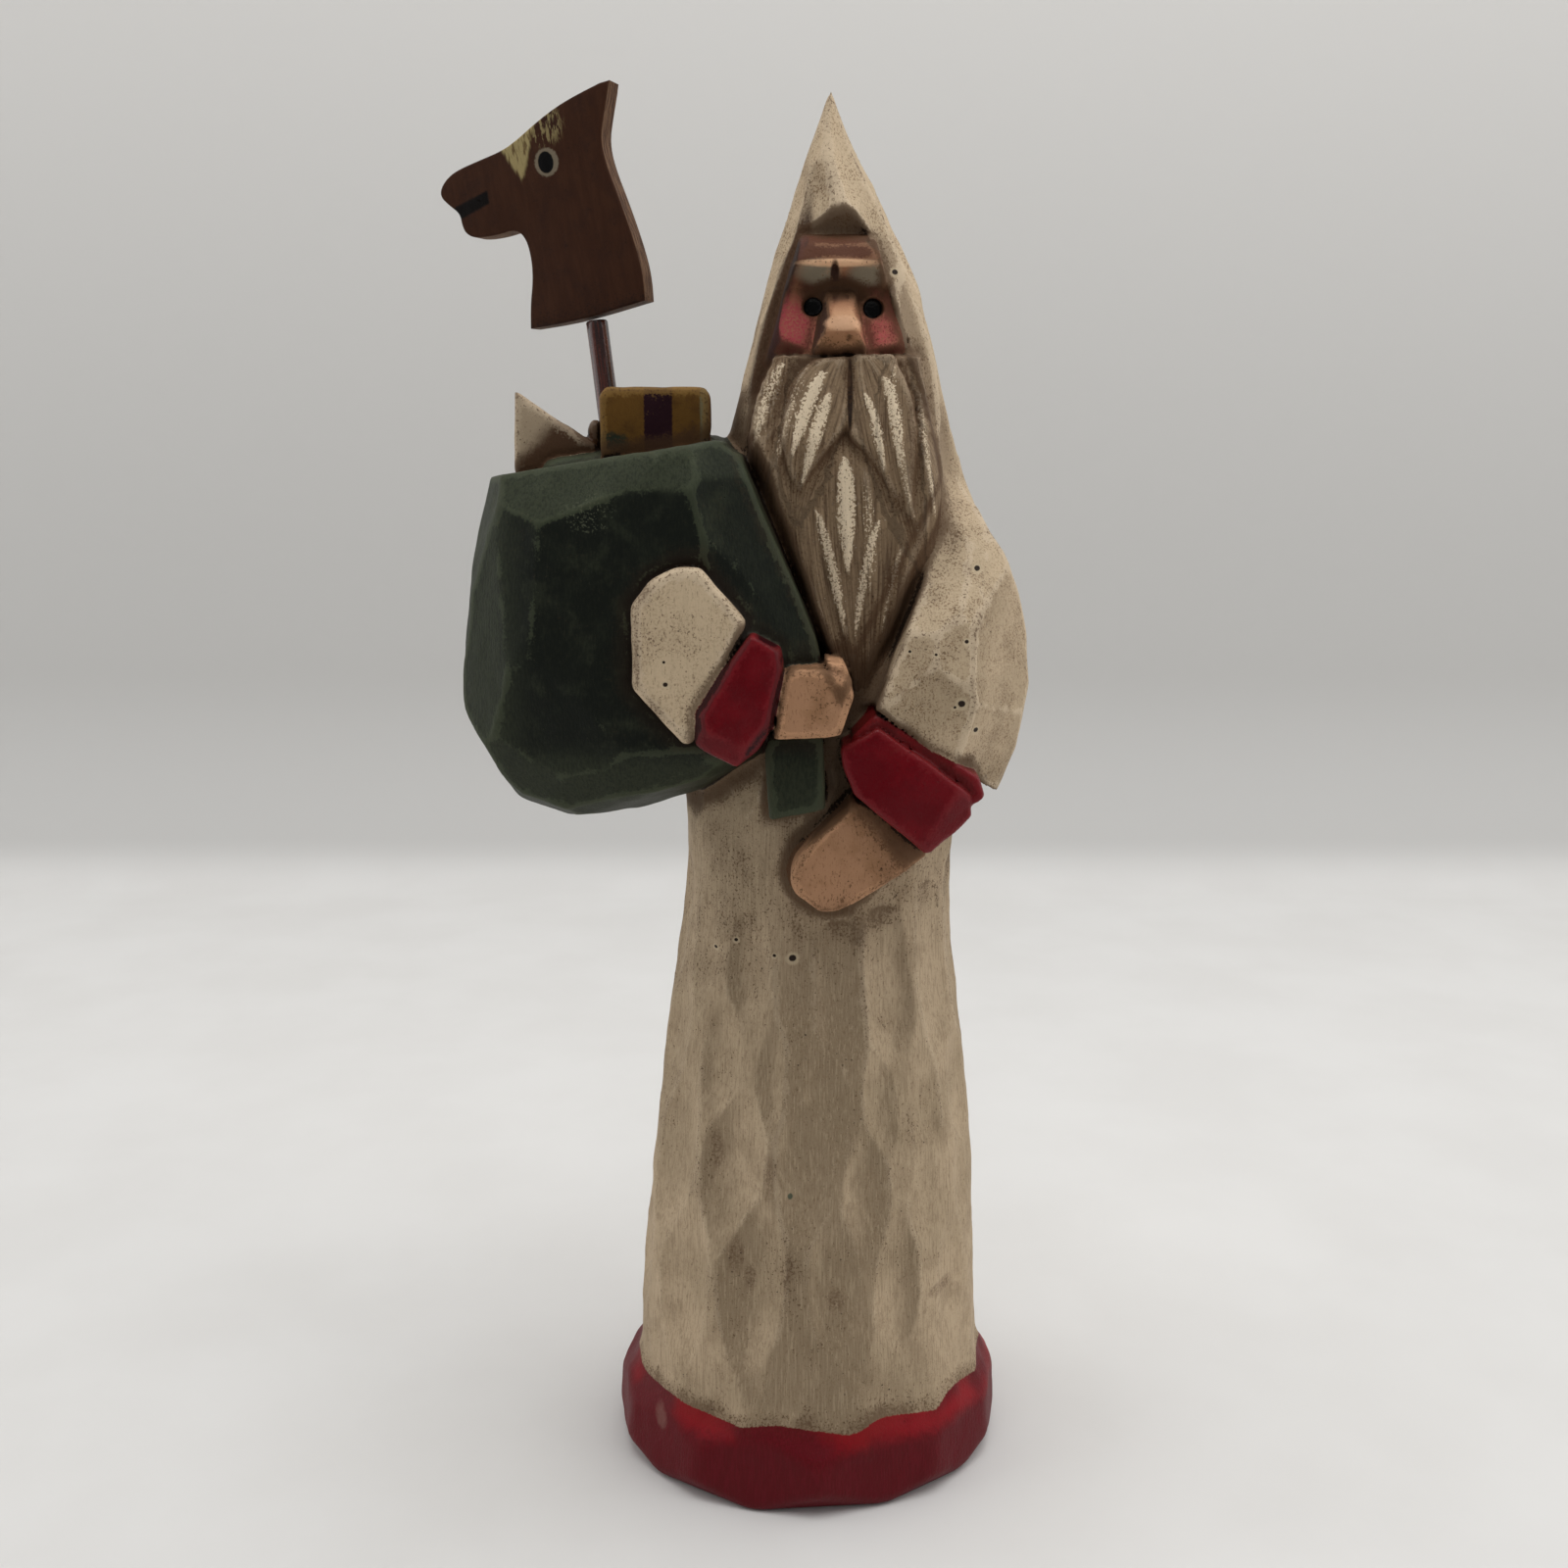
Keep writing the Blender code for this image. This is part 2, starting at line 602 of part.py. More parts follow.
def build():
    clear_scene()
    figure_parts = collection("carved_santa_figure")
    masses = collection("hewn_masses")
    masses.hide_render = True
    cloth = paint("antiqued_cream_paint", (0.42, 0.37, 0.29), 0.6)
    red = paint("dark_red_paint", (0.16, 0.012, 0.02), 0.4)
    green = paint("dark_green_paint", (0.022, 0.045, 0.033), 0.5)
    flesh = paint("flesh_paint", (0.42, 0.23, 0.14), 0.5)
    hair = paint("grey_hair_paint", (0.22, 0.18, 0.13), 0.6)
    mustard = paint("mustard_paint", (0.25, 0.14, 0.03), 0.45)
    lacquer = paint("brown_lacquer", (0.06, 0.02, 0.012), 0.3)
    board = paint("brown_stained_board", (0.055, 0.025, 0.013), 0.6)

    hem, *robe = robe_masses(masses, cloth, red)
    figure = bpy.data.objects.new("santa_figure", hem.data.copy())
    bpy.data.objects.remove(hem)
    figure_parts.objects.link(figure)
    combine(figure, robe, "UNION")
    combine(figure, [hood_opening(masses, cloth)], "DIFFERENCE")
    combine(figure, beard_masses(masses, hair), "UNION")
    combine(figure, beard_grooves(masses, hair), "DIFFERENCE")
    combine(figure, face_masses(masses, flesh), "UNION")
    combine(figure, eye_holes(masses, lacquer), "DIFFERENCE")
    combine(figure, sack_masses(masses, green), "UNION")
    combine(figure, arm_masses(masses, cloth, red, flesh), "UNION")
    combine(figure, toy_masses(masses, mustard, cloth, lacquer), "UNION")
    foot, way, length = stick_line()
    socket = drilled("stick_socket", foot, way, STICK_ACROSS + 2 * GLUE_GAP, length, masses, lacquer)
    combine(figure, [socket], "DIFFERENCE")
    horse_stick(figure_parts, lacquer)
    horse_head(figure_parts, board)


build()
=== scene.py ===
import math

import bmesh
import bpy
import numpy as np
from mathutils import Matrix, Vector


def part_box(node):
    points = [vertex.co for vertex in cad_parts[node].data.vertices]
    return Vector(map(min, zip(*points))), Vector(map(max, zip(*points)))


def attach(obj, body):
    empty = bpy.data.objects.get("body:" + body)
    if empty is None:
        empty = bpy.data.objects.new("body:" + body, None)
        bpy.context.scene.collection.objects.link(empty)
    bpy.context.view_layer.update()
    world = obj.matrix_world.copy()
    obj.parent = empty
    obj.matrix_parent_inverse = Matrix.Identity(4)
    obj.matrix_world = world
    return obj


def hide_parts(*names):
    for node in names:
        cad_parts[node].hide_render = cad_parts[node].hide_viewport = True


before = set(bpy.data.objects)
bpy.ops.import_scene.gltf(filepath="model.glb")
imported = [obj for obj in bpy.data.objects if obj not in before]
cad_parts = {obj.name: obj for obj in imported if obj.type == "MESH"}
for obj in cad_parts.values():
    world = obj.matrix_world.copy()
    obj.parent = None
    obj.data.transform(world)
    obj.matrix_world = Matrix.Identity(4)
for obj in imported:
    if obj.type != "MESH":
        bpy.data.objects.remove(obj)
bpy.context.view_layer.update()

# The view: a phone held close to the figure, at the height of the sack's mouth and tipped
# a little down, so the hood leans away and the hem spreads.
phone = bpy.data.objects.new("phone_view", bpy.data.cameras.new("phone_view"))
phone.data.sensor_width = 36.0
phone.data.lens = 36.0
phone.location = (-0.0050, -0.2854, 0.1848)
phone.rotation_euler = (math.radians(79.0), 0.0, 0.0)
bpy.context.scene.collection.objects.link(phone)
bpy.context.scene.camera = phone

# The robe: the carver's wooden model is hewn with flat knife cuts, then hollowed a little by
# long gouge strokes. The casting repeats them, with every ridge softened by the mould.
# Lengths are millimetres. A form is a function that gives the distance to its surface.
carving = []


def add(paint, form, fillet=0.0, crease=0.0):
    """Joins a form to the model, under a paint, with a soft fillet or with a line cut along the join."""
    carving.append(("add", paint, form, fillet, crease))


def take(form, soft=0.4):
    """Cuts a form out of the model, with a soft lip."""
    carving.append(("take", "", form, soft, 0.0))


def stroke(form, point, out, half_wide, half_tall, deep, lean=0.0):
    """Runs a gouge over a form, where a line through a point meets it. The paint's borders stay."""
    spot = Vector(point)
    for _ in range(12):
        spot = spot - out * float(form(*spot))
    slope = Vector([float(form(*(spot + step)) - form(*(spot - step))) for step in Matrix.Identity(3)])
    hollow = gouge(spot, slope.normalized(), half_wide, half_tall, deep, lean)
    carving.append(("stroke", "", hollow, 0.1, 0.0))


def wobble(seed, amount=0.45):
    return amount * math.sin(12.9898 * seed + 78.233)


def facing(azimuth, tilt=0.0):
    """The way that a cut looks: azimuth 0 is the front, 90 the figure's left, tilt is upwards."""
    turn, rise = math.radians(azimuth), math.radians(tilt)
    return Vector((math.sin(turn) * math.cos(rise), -math.cos(turn) * math.cos(rise), math.sin(rise)))


def cut(x, y, z, azimuth, tilt=0.0):
    return Vector((x, y, z)), facing(azimuth, tilt)


def turned_cuts(rows, sides, seed):
    """Cuts all round. A row: height, middle x, middle y, half width, half depth, tilt."""
    cuts = []
    for level, (height, mid_x, mid_y, wide, deep, tilt) in enumerate(rows):
        for side in range(sides):
            number = seed + 31 * level + side
            azimuth = (side + 0.5 * (level % 2)) * 360.0 / sides + wobble(number, 5.0)
            turn = math.radians(azimuth)
            reach = math.hypot(wide * math.sin(turn), deep * math.cos(turn)) + wobble(number + 7)
            point = Vector((mid_x + reach * math.sin(turn), mid_y - reach * math.cos(turn), height))
            cuts.append((point, facing(azimuth, tilt + wobble(number + 3, 1.2))))
    return cuts


def soft_max(one, other, soft):
    if soft <= 0.0:
        return np.maximum(one, other)
    near = np.maximum(soft - np.abs(one - other), 0.0)
    return np.maximum(one, other) + near * near / (4.0 * soft)


def hewn(cuts, soft):
    """A mass bounded by flat cuts, whose edges are worn round."""
    flats = [(*normal, normal.dot(point)) for point, normal in cuts]

    def distance(x, y, z):
        deepest = None
        for a, b, c, reach in flats:
            flat = (np.float32(a) * x + np.float32(b) * y) + (np.float32(c) * z - np.float32(reach))
            deepest = flat if deepest is None else soft_max(deepest, flat, soft)
        return deepest

    return distance


def gouge(point, out, half_wide, half_tall, deep, lean=0.0):
    """One stroke of a gouge: a long shallow hollow, sunk into the surface at a point."""
    side = Vector((0, 0, 1)).cross(out).normalized()
    rise = out.cross(side)
    turn = math.radians(lean)
    side, rise = side * math.cos(turn) + rise * math.sin(turn), rise * math.cos(turn) - side * math.sin(turn)
    far = 20.0
    radii = (math.sqrt(half_wide**2 / (2 * deep) * far), math.sqrt(half_tall**2 / (2 * deep) * far), far)
    middle = Vector(point) + out * (far - deep)

    def distance(x, y, z):
        x, y, z = x - middle.x, y - middle.y, z - middle.z
        near, slope = 0.0, 0.0
        for axis, radius in zip((side, rise, out), radii):
            share = (axis.x * x + axis.y * y + axis.z * z) / radius
            near = near + share * share
            slope = slope + (share / radius) ** 2
        hollow = np.sqrt(near) * (np.sqrt(near) - 1.0) / np.maximum(np.sqrt(slope), 1e-4)
        x, y, z = x + out.x * (far - deep), y + out.y * (far - deep), z + out.z * (far - deep)
        ball = np.sqrt(x * x + y * y + z * z) - 1.15 * max(half_wide, half_tall)
        return soft_max(hollow, ball, 1.0)

    return distance


hem_rows = [
    (1.0, 0.0, 0.0, 35.2, 30.2, -40.0),
    (6.0, 0.0, 0.0, 36.4, 31.4, 3.0),
    (13.5, 0.0, 0.0, 35.6, 30.7, 40.0),
]
skirt_rows = [
    (20.0, 0.1, 0.0, 32.6, 28.2, 1.0),
    (38.0, 0.4, 0.0, 32.2, 27.6, 3.0),
    (58.0, 0.9, -0.1, 30.7, 26.5, 5.8),
    (80.0, 1.3, -0.3, 28.2, 25.0, 7.0),
    (98.0, 1.1, -0.5, 25.8, 23.8, 7.4),
    (116.0, 1.1, -0.6, 23.8, 22.6, 8.0),
]
trunk_rows = [
    (118.0, 1.6, -0.4, 23.0, 20.4, -11.0),
    (136.0, 2.4, 0.4, 25.6, 21.6, -1.0),
    (154.0, 3.4, 0.8, 26.0, 21.0, 4.0),
    (170.0, 4.6, 0.8, 24.8, 20.0, 11.0),
    (186.0, 4.9, 0.6, 20.8, 18.8, 14.0),
]
skirt_ends = [cut(0, 0, 12, 0, -90), cut(0, 0, 140, 0, 90)]
trunk_ends = [cut(0, 0, 104, 0, -90), cut(0, 0, 191, 0, 90)]
hem_ends = [cut(0, 0, 0, 0, -90), cut(0, 0, 19, 0, 90)]
skirt = hewn(turned_cuts(skirt_rows, 14, 200) + skirt_ends, 0.3)
trunk = hewn(turned_cuts(trunk_rows, 12, 300) + trunk_ends, 0.3)
hem = hewn(turned_cuts(hem_rows, 12, 100) + hem_ends, 0.9)
add("cloth", skirt)
add("cloth", trunk, fillet=4.5)
add("hem", hem, fillet=2.6)


def on_rows(rows, azimuth, height):
    """A point on a turned mass, and the slope of its side there."""
    heights = [row[0] for row in rows]
    columns = zip(*(row[1:] for row in rows))
    mid_x, mid_y, wide, deep, tilt = (np.interp(height, heights, column) for column in columns)
    turn = math.radians(azimuth)
    reach = math.hypot(wide * math.sin(turn), deep * math.cos(turn))
    return (mid_x + reach * math.sin(turn), mid_y - reach * math.cos(turn), height), tilt


def gouge_round(form, rows, heights, sides, half_wide, half_tall, deep, seed):
    """Strokes all round a turned mass, staggered from row to row."""
    for level, height in enumerate(heights):
        for side in range(sides):
            number = seed + 17 * level + side
            azimuth = (side + 0.5 * (level % 2)) * 360.0 / sides + wobble(number, 7.0)
            point, tilt = on_rows(rows, azimuth, height + wobble(number + 2, 5.0))
            size = 1.0 + wobble(number + 5, 0.3)
            lean = wobble(number + 9, 6.0)
            stroke(form, point, facing(azimuth, tilt), half_wide * size, half_tall * size, deep * size, lean)


gouge_round(skirt, skirt_rows, (38.0, 58.0, 79.0, 100.0), 14, 5.8, 14.5, 1.1, 500)
gouge_round(trunk, trunk_rows, (140.0, 162.0), 11, 5.5, 11.0, 0.8, 620)

# The hood: a tall cone over the head and shoulders, cut open at the front for the face.
# The opening is scooped out in an arch, with a thick lip that stands proud of the beard.
hood_rows = [
    (167.0, 5.3, -0.4, 23.0, 20.6, -22.0),
    (176.0, 5.3, -1.4, 22.4, 20.8, 7.0),
    (190.0, 4.9, -1.0, 19.8, 19.4, 11.0),
    (204.0, 4.7, -0.8, 16.6, 17.5, 13.5),
    (217.0, 4.7, -0.9, 13.4, 14.0, 17.5),
    (228.0, 4.2, -1.0, 9.8, 10.9, 20.5),
    (239.0, 3.1, -0.4, 5.3, 6.0, 24.5),
]


def pillow_cuts(outline, front, rim, back, inset, steps=1, back_inset=None, seed=0, unevenness=0.0):
    """Cuts for a mass with an outline seen from the front, widest at y = rim, whose edges are turned over.

    outline holds (x, z) corners. A third number is the front inset of the edge that starts there,
    and a fourth its back inset.
    """
    cuts = [cut(0, front, 0, 0), cut(0, back, 0, 180)]
    corners = [corner[:2] for corner in outline]
    edges = list(zip(corners, corners[1:] + corners[:1]))
    way_round = 1.0 if sum(x1 * z2 - x2 * z1 for (x1, z1), (x2, z2) in edges) > 0 else -1.0
    back_inset = inset if back_inset is None else back_inset
    for number, ((x1, z1), (x2, z2)) in enumerate(edges):
        length = math.hypot(x2 - x1, z2 - z1)
        out = Vector(((z2 - z1) * way_round / length, 0.0, (x1 - x2) * way_round / length))
        edge = Vector(((x1 + x2) / 2, rim, (z1 + z2) / 2))
        cuts.append((edge, out))
        own = outline[number][2:]
        front_run = own[0] if own else inset
        back_run = own[1] if len(own) > 1 else back_inset
        for end, run in ((front, front_run), (back, back_run)):
            if run <= 0:
                continue
            for step in range(1, steps + 1):
                uneven = wobble(seed + 5 * number + step, 12 * unevenness)
                angle = math.radians(90.0 * step / (steps + 1) + uneven)
                across = run * (math.cos(angle) - 1.0) + wobble(seed + number, 2 * unevenness)
                along = (end - rim) * math.sin(angle)
                normal = out * (math.cos(angle) / run) + Vector((0, math.sin(angle) / (end - rim), 0))
                cuts.append((edge + out * min(across, 0.0) + Vector((0, along, 0)), normal.normalized()))
    return cuts


hood = hewn(turned_cuts(hood_rows, 10, 400) + [cut(0, 0, 157, 0, -90)], 0.3)
add("cloth", hood, fillet=3.0)
gouge_round(hood, hood_rows, (186.0, 203.0, 220.0, 234.0), 10, 3.8, 11.0, 0.8, 700)
left_sleeve_outline = [(24.9, 184.0), (27.6, 181.0), (31.6, 174.4), (35.6, 165.7), (37.6, 157.0),
                       (38.0, 148.0), (36.3, 138.5), (32.8, 130.6, 0), (10.0, 147.7, 0)]
left_sleeve_facets = [cut(*row) for row in (
    (20.0, -31.0, 147.0, 4, -3), (15.7, -31.0, 151.5, 346, 16), (23.4, -31.0, 152.5, 9, 15),
    (29.0, -29.4, 155.0, 34, 10), (18.0, -28.6, 160.5, 348, 40), (26.7, -27.2, 162.3, 22, 34),
    (30.0, -29.6, 145.0, 40, -16), (33.4, -19.0, 156.0, 56, 6), (33.2, -19.0, 141.0, 52, -14),
    (29.6, -20.0, 170.0, 40, 26), (24.0, -17.0, 176.0, 10, 48), (27.0, 13.0, 165.0, 158, 14),
)]
sleeve_strokes = [
    ((36.0, -8.0, 152.0), 82, 6.0, 10.0, 0.6, 0.0),
    ((35.0, 4.0, 164.0), 104, 6.0, 10.0, 0.6, 8.0),
    ((31.0, 12.0, 150.0), 140, 6.0, 10.0, 0.6, -5.0),
    ((31.0, -14.0, 176.0), 60, 4.0, 7.0, 0.4, 20.0),
]
sleeve_cuts = pillow_cuts(left_sleeve_outline, -31.0, -6.0, 15.0, 9.0, 2, 13.0, 11, 0.8) + left_sleeve_facets
left_sleeve = hewn(sleeve_cuts, 0.2)
add("cloth", left_sleeve, fillet=3.5)
for spot, azimuth, *sizes in sleeve_strokes:
    stroke(left_sleeve, spot, facing(azimuth), *sizes)
opening = [(4.2, 232.0), (-2.6, 225.4), (-8.4, 211.4), (-12.6, 199.0), (-13.0, 186.0), (4.0, 150.0),
           (21.8, 186.0), (19.0, 197.0), (16.2, 206.6), (13.4, 213.8), (10.4, 223.4)]
scooped = hewn(pillow_cuts(opening, -60.0, -30.0, -9.0, 0.0) + [cut(4.0, -14.0, 232.2, 180, 42)], 0.9)
take(scooped, 0.6)

# The face: a doll's, made of a dozen cuts. A brow with a nick in it overhangs two drilled eyes,
# the cheeks are flat, and the nose is a wedge with its underside cut back.
temples = [cut(-2.9, -14.2, 221.0, 278, 16), cut(10.9, -14.2, 221.0, 82, 17)]
brow = temples + [cut(*row) for row in (
    (4, -16.0, 219.9, 0, 30), (4, -14.2, 223.0, 0, 66), (4, -16.0, 219.9, 0, -42), (4, -7, 220, 180),
    (-2.0, -14.4, 222.6, 310, 46), (9.7, -14.4, 222.6, 50, 46),
)]
cheeks = temples + [cut(*row) for row in (
    (4, -12.2, 213.5, 0, 17), (4, -12.2, 218.5, 0, 50), (4, -6, 210, 180), (4, -12, 203.0, 0, -90),
    (-6.0, -13.0, 207.5, 310, -6), (15.2, -13.0, 207.5, 50, -6), (-3.0, -13.2, 205.2, 335, -40),
    (12.8, -13.2, 205.2, 25, -40),
)]
nose = [cut(*row) for row in (
    (4.4, -18.0, 211.4, 0, 50), (4.5, -18.4, 210.0, 0, 14), (4.5, -18.7, 208.8, 0, -32),
    (4.5, -12, 205.2, 0, -90), (2.2, -18, 210.4, 298, 24), (7.2, -18, 210.4, 62, 24),
    (0.3, -15, 208.0, 288, 16), (8.4, -15, 208.0, 72, 16), (4.5, -10, 210, 180),
)]
add("face", hewn(brow, 0.5), crease=0.3)
add("face", hewn(cheeks, 0.6), fillet=0.5)
add("face", hewn(nose, 0.35), crease=0.15)


def drilled(x, z, across, bottom):
    """A round hole drilled from the front to a depth."""
    def distance(near_x, near_y, near_z):
        return np.maximum(np.hypot(near_x - x, near_z - z) - across / 2, near_y - bottom)

    return distance


def pit(x, y, z, across):
    def distance(near_x, near_y, near_z):
        return np.sqrt((near_x - x) ** 2 + (near_y - y) ** 2 + (near_z - z) ** 2) - across / 2

    return distance


eyes = [(-0.1, 213.2), (9.9, 213.0)]
for eye_x, eye_z in eyes:
    take(drilled(eye_x, eye_z, 3.3, -10.9), 0.3)
stroke(hewn(brow, 0.5), (3.4, -15.0, 218.4), facing(0, -42), 0.7, 1.7, 0.7)
for spot in ((0.6, -13.2, 205.6, 1.3), (8.6, -13.2, 205.6, 1.3), (15.4, -11.8, 207.6, 1.6)):
    take(pit(*spot), 0.3)

# The beard: one long pointed mass under two lobes of moustache. Its locks are shallow leaves,
# pointed at both ends, and fine strands run along them.
strand_ways = [
    ((4.6, 205.0), (-3.1, 177.0), 5.4, -2.2),
    ((7.8, 205.0), (16.4, 171.5), 4.8, 1.2),
    ((5.4, 198.0), (8.5, 145.0), 9.6, 0.0),
    ((-5.4, 206.5), (-9.5, 181.0), 3.0, -1.0),
    ((14.8, 206.5), (18.6, 168.0), 3.4, -2.4),
]
locks = [
    ((1.7, 202.2), (-3.8, 188.0), 1.6, -0.7, 0.6),
    ((2.5, 198.8), (-2.2, 183.6), 1.5, -0.2, 0.56),
    ((-5.0, 203.8), (-10.3, 189.4), 2.0, -0.5, 0.36),
    ((8.1, 198.6), (11.4, 185.4), 1.15, 0.7, 0.5),
    ((11.2, 201.4), (13.9, 186.4), 1.45, 0.9, 0.5),
    ((5.0, 188.4), (5.7, 169.0), 2.0, 0.0, 0.6),
    ((0.2, 179.8), (5.4, 158.2), 1.3, 0.5, 0.45),
    ((11.0, 178.2), (6.9, 158.2), 1.2, -0.7, 0.45),
    ((14.8, 174.0), (11.3, 159.0), 0.7, -0.4, 0.35),
    ((17.6, 199.0), (20.4, 178.0), 0.9, -0.6, 0.4),
    ((-0.6, 203.6), (-6.2, 186.0), 1.3, -1.2, 0.3),
    ((13.4, 203.4), (17.2, 176.0), 1.2, -1.5, 0.3),
    ((8.4, 186.0), (9.4, 166.0), 1.3, 0.3, 0.25),
]


def leaf(x, z, top, tip, half_wide, bow):
    """Where a place lies in a leaf from top to tip: across it, -1 to 1, and along it, 0 to 1."""
    run_x, run_z = tip[0] - top[0], tip[1] - top[1]
    length = math.hypot(run_x, run_z)
    along = ((x - top[0]) * run_x + (z - top[1]) * run_z) / length**2
    across = ((x - top[0]) * run_z - (z - top[1]) * run_x) / -length
    fullest = np.clip(along, 0.0, 1.0) ** 0.7
    within = np.clip(4.0 * fullest * (1.0 - fullest), 0.0, 1.0)
    across = across - bow * within
    return across / (half_wide * np.maximum(within, 0.02) ** 0.8), along


def lock_height(x, z):
    """How far the locks stand up from the beard, 0 to 1 of the tallest."""
    height = np.zeros(np.broadcast(x, z).shape, np.float32)
    for top, tip, half_wide, bow, rise in locks:
        across, along = leaf(x, z, top, tip, half_wide, bow)
        profile = np.clip(1.0 - across * across, 0.0, 1.0) * ((along > 0) & (along < 1))
        height = np.maximum(height, profile * rise / 0.6)
    return height


def beard_relief(x, z):
    """Locks stand up, and the wide strands between them are ribbed."""
    across, along = leaf(x, z, *strand_ways[2])
    ribs = 0.5 + 0.5 * np.cos(across * 11.0)
    return 0.62 * lock_height(x, z) - 0.28 * ribs


def lobe_relief(way):
    def relief(x, z):
        across, along = leaf(x, z, *way)
        return 0.62 * lock_height(x, z) - 0.22 * (0.5 + 0.5 * np.cos(across * 8.0 + 0.8))

    return relief


def raised(form, relief):
    """A form with a relief standing up from it, read from the front."""
    return lambda x, y, z: form(x, y, z) - relief(x, z)


beard_outline = [(-6.6, 205.4), (-10.2, 197.5), (-11.6, 190.0), (-9.4, 182.0, 3), (-3.6, 167.0, 2),
                 (1.0, 156.0, 2), (6.0, 146.5, 2), (10.0, 146.5, 3), (13.0, 153.5), (18.8, 167.5),
                 (21.4, 176.0), (22.2, 184.0), (20.6, 193.0), (17.8, 205.4)]
beard_slopes = [cut(5, -16.6, 205.4, 0, 17), cut(5, -21.5, 150, 0, -14)]
beard_form = hewn(pillow_cuts(beard_outline, -22.4, -12.0, -4.0, 4.0, 2, 0.0) + beard_slopes, 0.8)
add("beard", raised(beard_form, beard_relief), fillet=0.7)
lobes = [
    [(6.5, 205.0), (-0.6, 204.6), (-5.2, 197.0), (-6.9, 190.5), (-6.6, 186.5), (-2.9, 178.2),
     (6.5, 193.2, 0.5)],
    [(5.1, 205.0), (13.4, 205.2), (17.2, 196.0), (18.7, 187.0), (18.0, 178.0), (16.8, 172.8),
     (5.1, 190.8, 0.5)],
]
for lobe_outline, way in zip(lobes, strand_ways):
    lobe_cuts = pillow_cuts(lobe_outline, -23.1, -17.0, -10.0, 3.2, 1, 0.0) + [cut(5, -18.6, 205.4, 0, 15)]
    add("beard", raised(hewn(lobe_cuts, 0.8), lobe_relief(way)), crease=0.22)
parting = [cut(5.5, 0, 0, 270), cut(6.1, 0, 0, 90), cut(5.8, -17.9, 205.4, 180, -15), cut(0, -40, 0, 0),
           cut(0, 0, 192.6, 0, -90), cut(0, 0, 208, 0, 90)]
take(hewn(parting, 0.2), 0.5)

# The sack: full and heavy, over the right shoulder. Its mouth is bunched behind the rim,
# and the end of its neck comes out under the fist that holds it.
sack_outline = [(-54.6, 185.2), (-57.0, 176.0), (-58.8, 166.0), (-59.9, 157.0), (-59.6, 147.6),
                (-57.4, 140.6), (-53.4, 133.6), (-49.4, 129.5), (-40.0, 126.0), (-33.0, 126.7, 9),
                (-16.0, 131.6, 7), (-4.0, 138.5, 4), (4.4, 152.0, 1.4), (2.8, 158.0, 1.6),
                (-1.6, 168.4, 1.8), (-5.4, 179.0, 2.2), (-10.2, 187.4, 2.4, 8), (-15.4, 191.2, 1.4, 4)]
sack_facets = [cut(*row) for row in (
    (-30.0, -31.8, 160.0, 356, 2), (-43.0, -31.2, 176.5, 346, 27), (-28.0, -31.6, 181.7, 356, 19),
    (-19.6, -31.0, 187.0, 24, 8), (-14.0, -31.8, 178.6, 24, 23), (-3.6, -31.8, 164.4, 28, 16),
    (-49.0, -29.4, 178.0, 326, 20), (-46.4, -30.6, 160.0, 336, 4), (-53.0, -26.6, 160.0, 316, 2),
    (-38.0, -31.6, 148.0, 346, -9), (-48.0, -29.6, 143.4, 336, -24), (-38.0, -31.2, 139.4, 350, -29),
    (-26.0, -31.4, 139.4, 2, -25), (-14.0, -31.6, 140.8, 12, -27), (-30.0, 19.5, 160.0, 176, 14),
    (-46.0, 14.0, 156.0, 226, 6), (-46.0, 12.0, 140.0, 218, -18), (-26.0, 17.0, 138.0, 176, -20),
    (-50.0, 4.0, 176.0, 238, 20),
)]
mouth_outline = [(-47.0, 178.0), (-49.0, 184.5), (-46.5, 188.8), (-16.8, 193.0), (-12.6, 189.8),
                 (-14.0, 178.0)]
neck_outline = [(-8.1, 144.0), (1.4, 144.0), (1.9, 130.8), (-7.3, 129.2), (-8.1, 137.0)]
sack_cuts = pillow_cuts(sack_outline, -32.0, -8.0, 21.0, 12.0, 2, 19.0, 23, 1.0) + sack_facets
sack = hewn(sack_cuts, 0.2)
add("sack", sack, fillet=0.9)
sack_strokes = [
    ((-14.0, -31.5, 167.3), 8, 3.4, 12.0, 0.45, 42.0),
    ((-55.0, -18.0, 163.0), 300, 4.5, 9.0, 0.6, 6.0),
    ((-56.0, -14.0, 146.0), 292, 4.5, 7.0, 0.6, -8.0),
    ((-57.5, 0.0, 164.0), 272, 6.0, 11.0, 0.7, 5.0),
    ((-57.5, 6.0, 146.0), 260, 6.0, 9.0, 0.7, -5.0),
    ((-40.0, 18.0, 166.0), 196, 7.0, 12.0, 0.7, -6.0),
    ((-24.0, 20.0, 150.0), 176, 7.0, 12.0, 0.7, 6.0),
]
for spot, azimuth, *sizes in sack_strokes:
    stroke(sack, spot, facing(azimuth), *sizes)
add("sack", hewn(pillow_cuts(mouth_outline, -9.5, -5.0, 8.5, 1.6, 2, 6.5), 1.2), fillet=0.8)
neck_cuts = pillow_cuts(neck_outline, -31.4, -30.6, -18.0, 0.7, 1, 0.0) + [cut(-3.0, -31.4, 135.2, 0, 5)]
add("sack", hewn(neck_cuts, 0.4), crease=0.4)

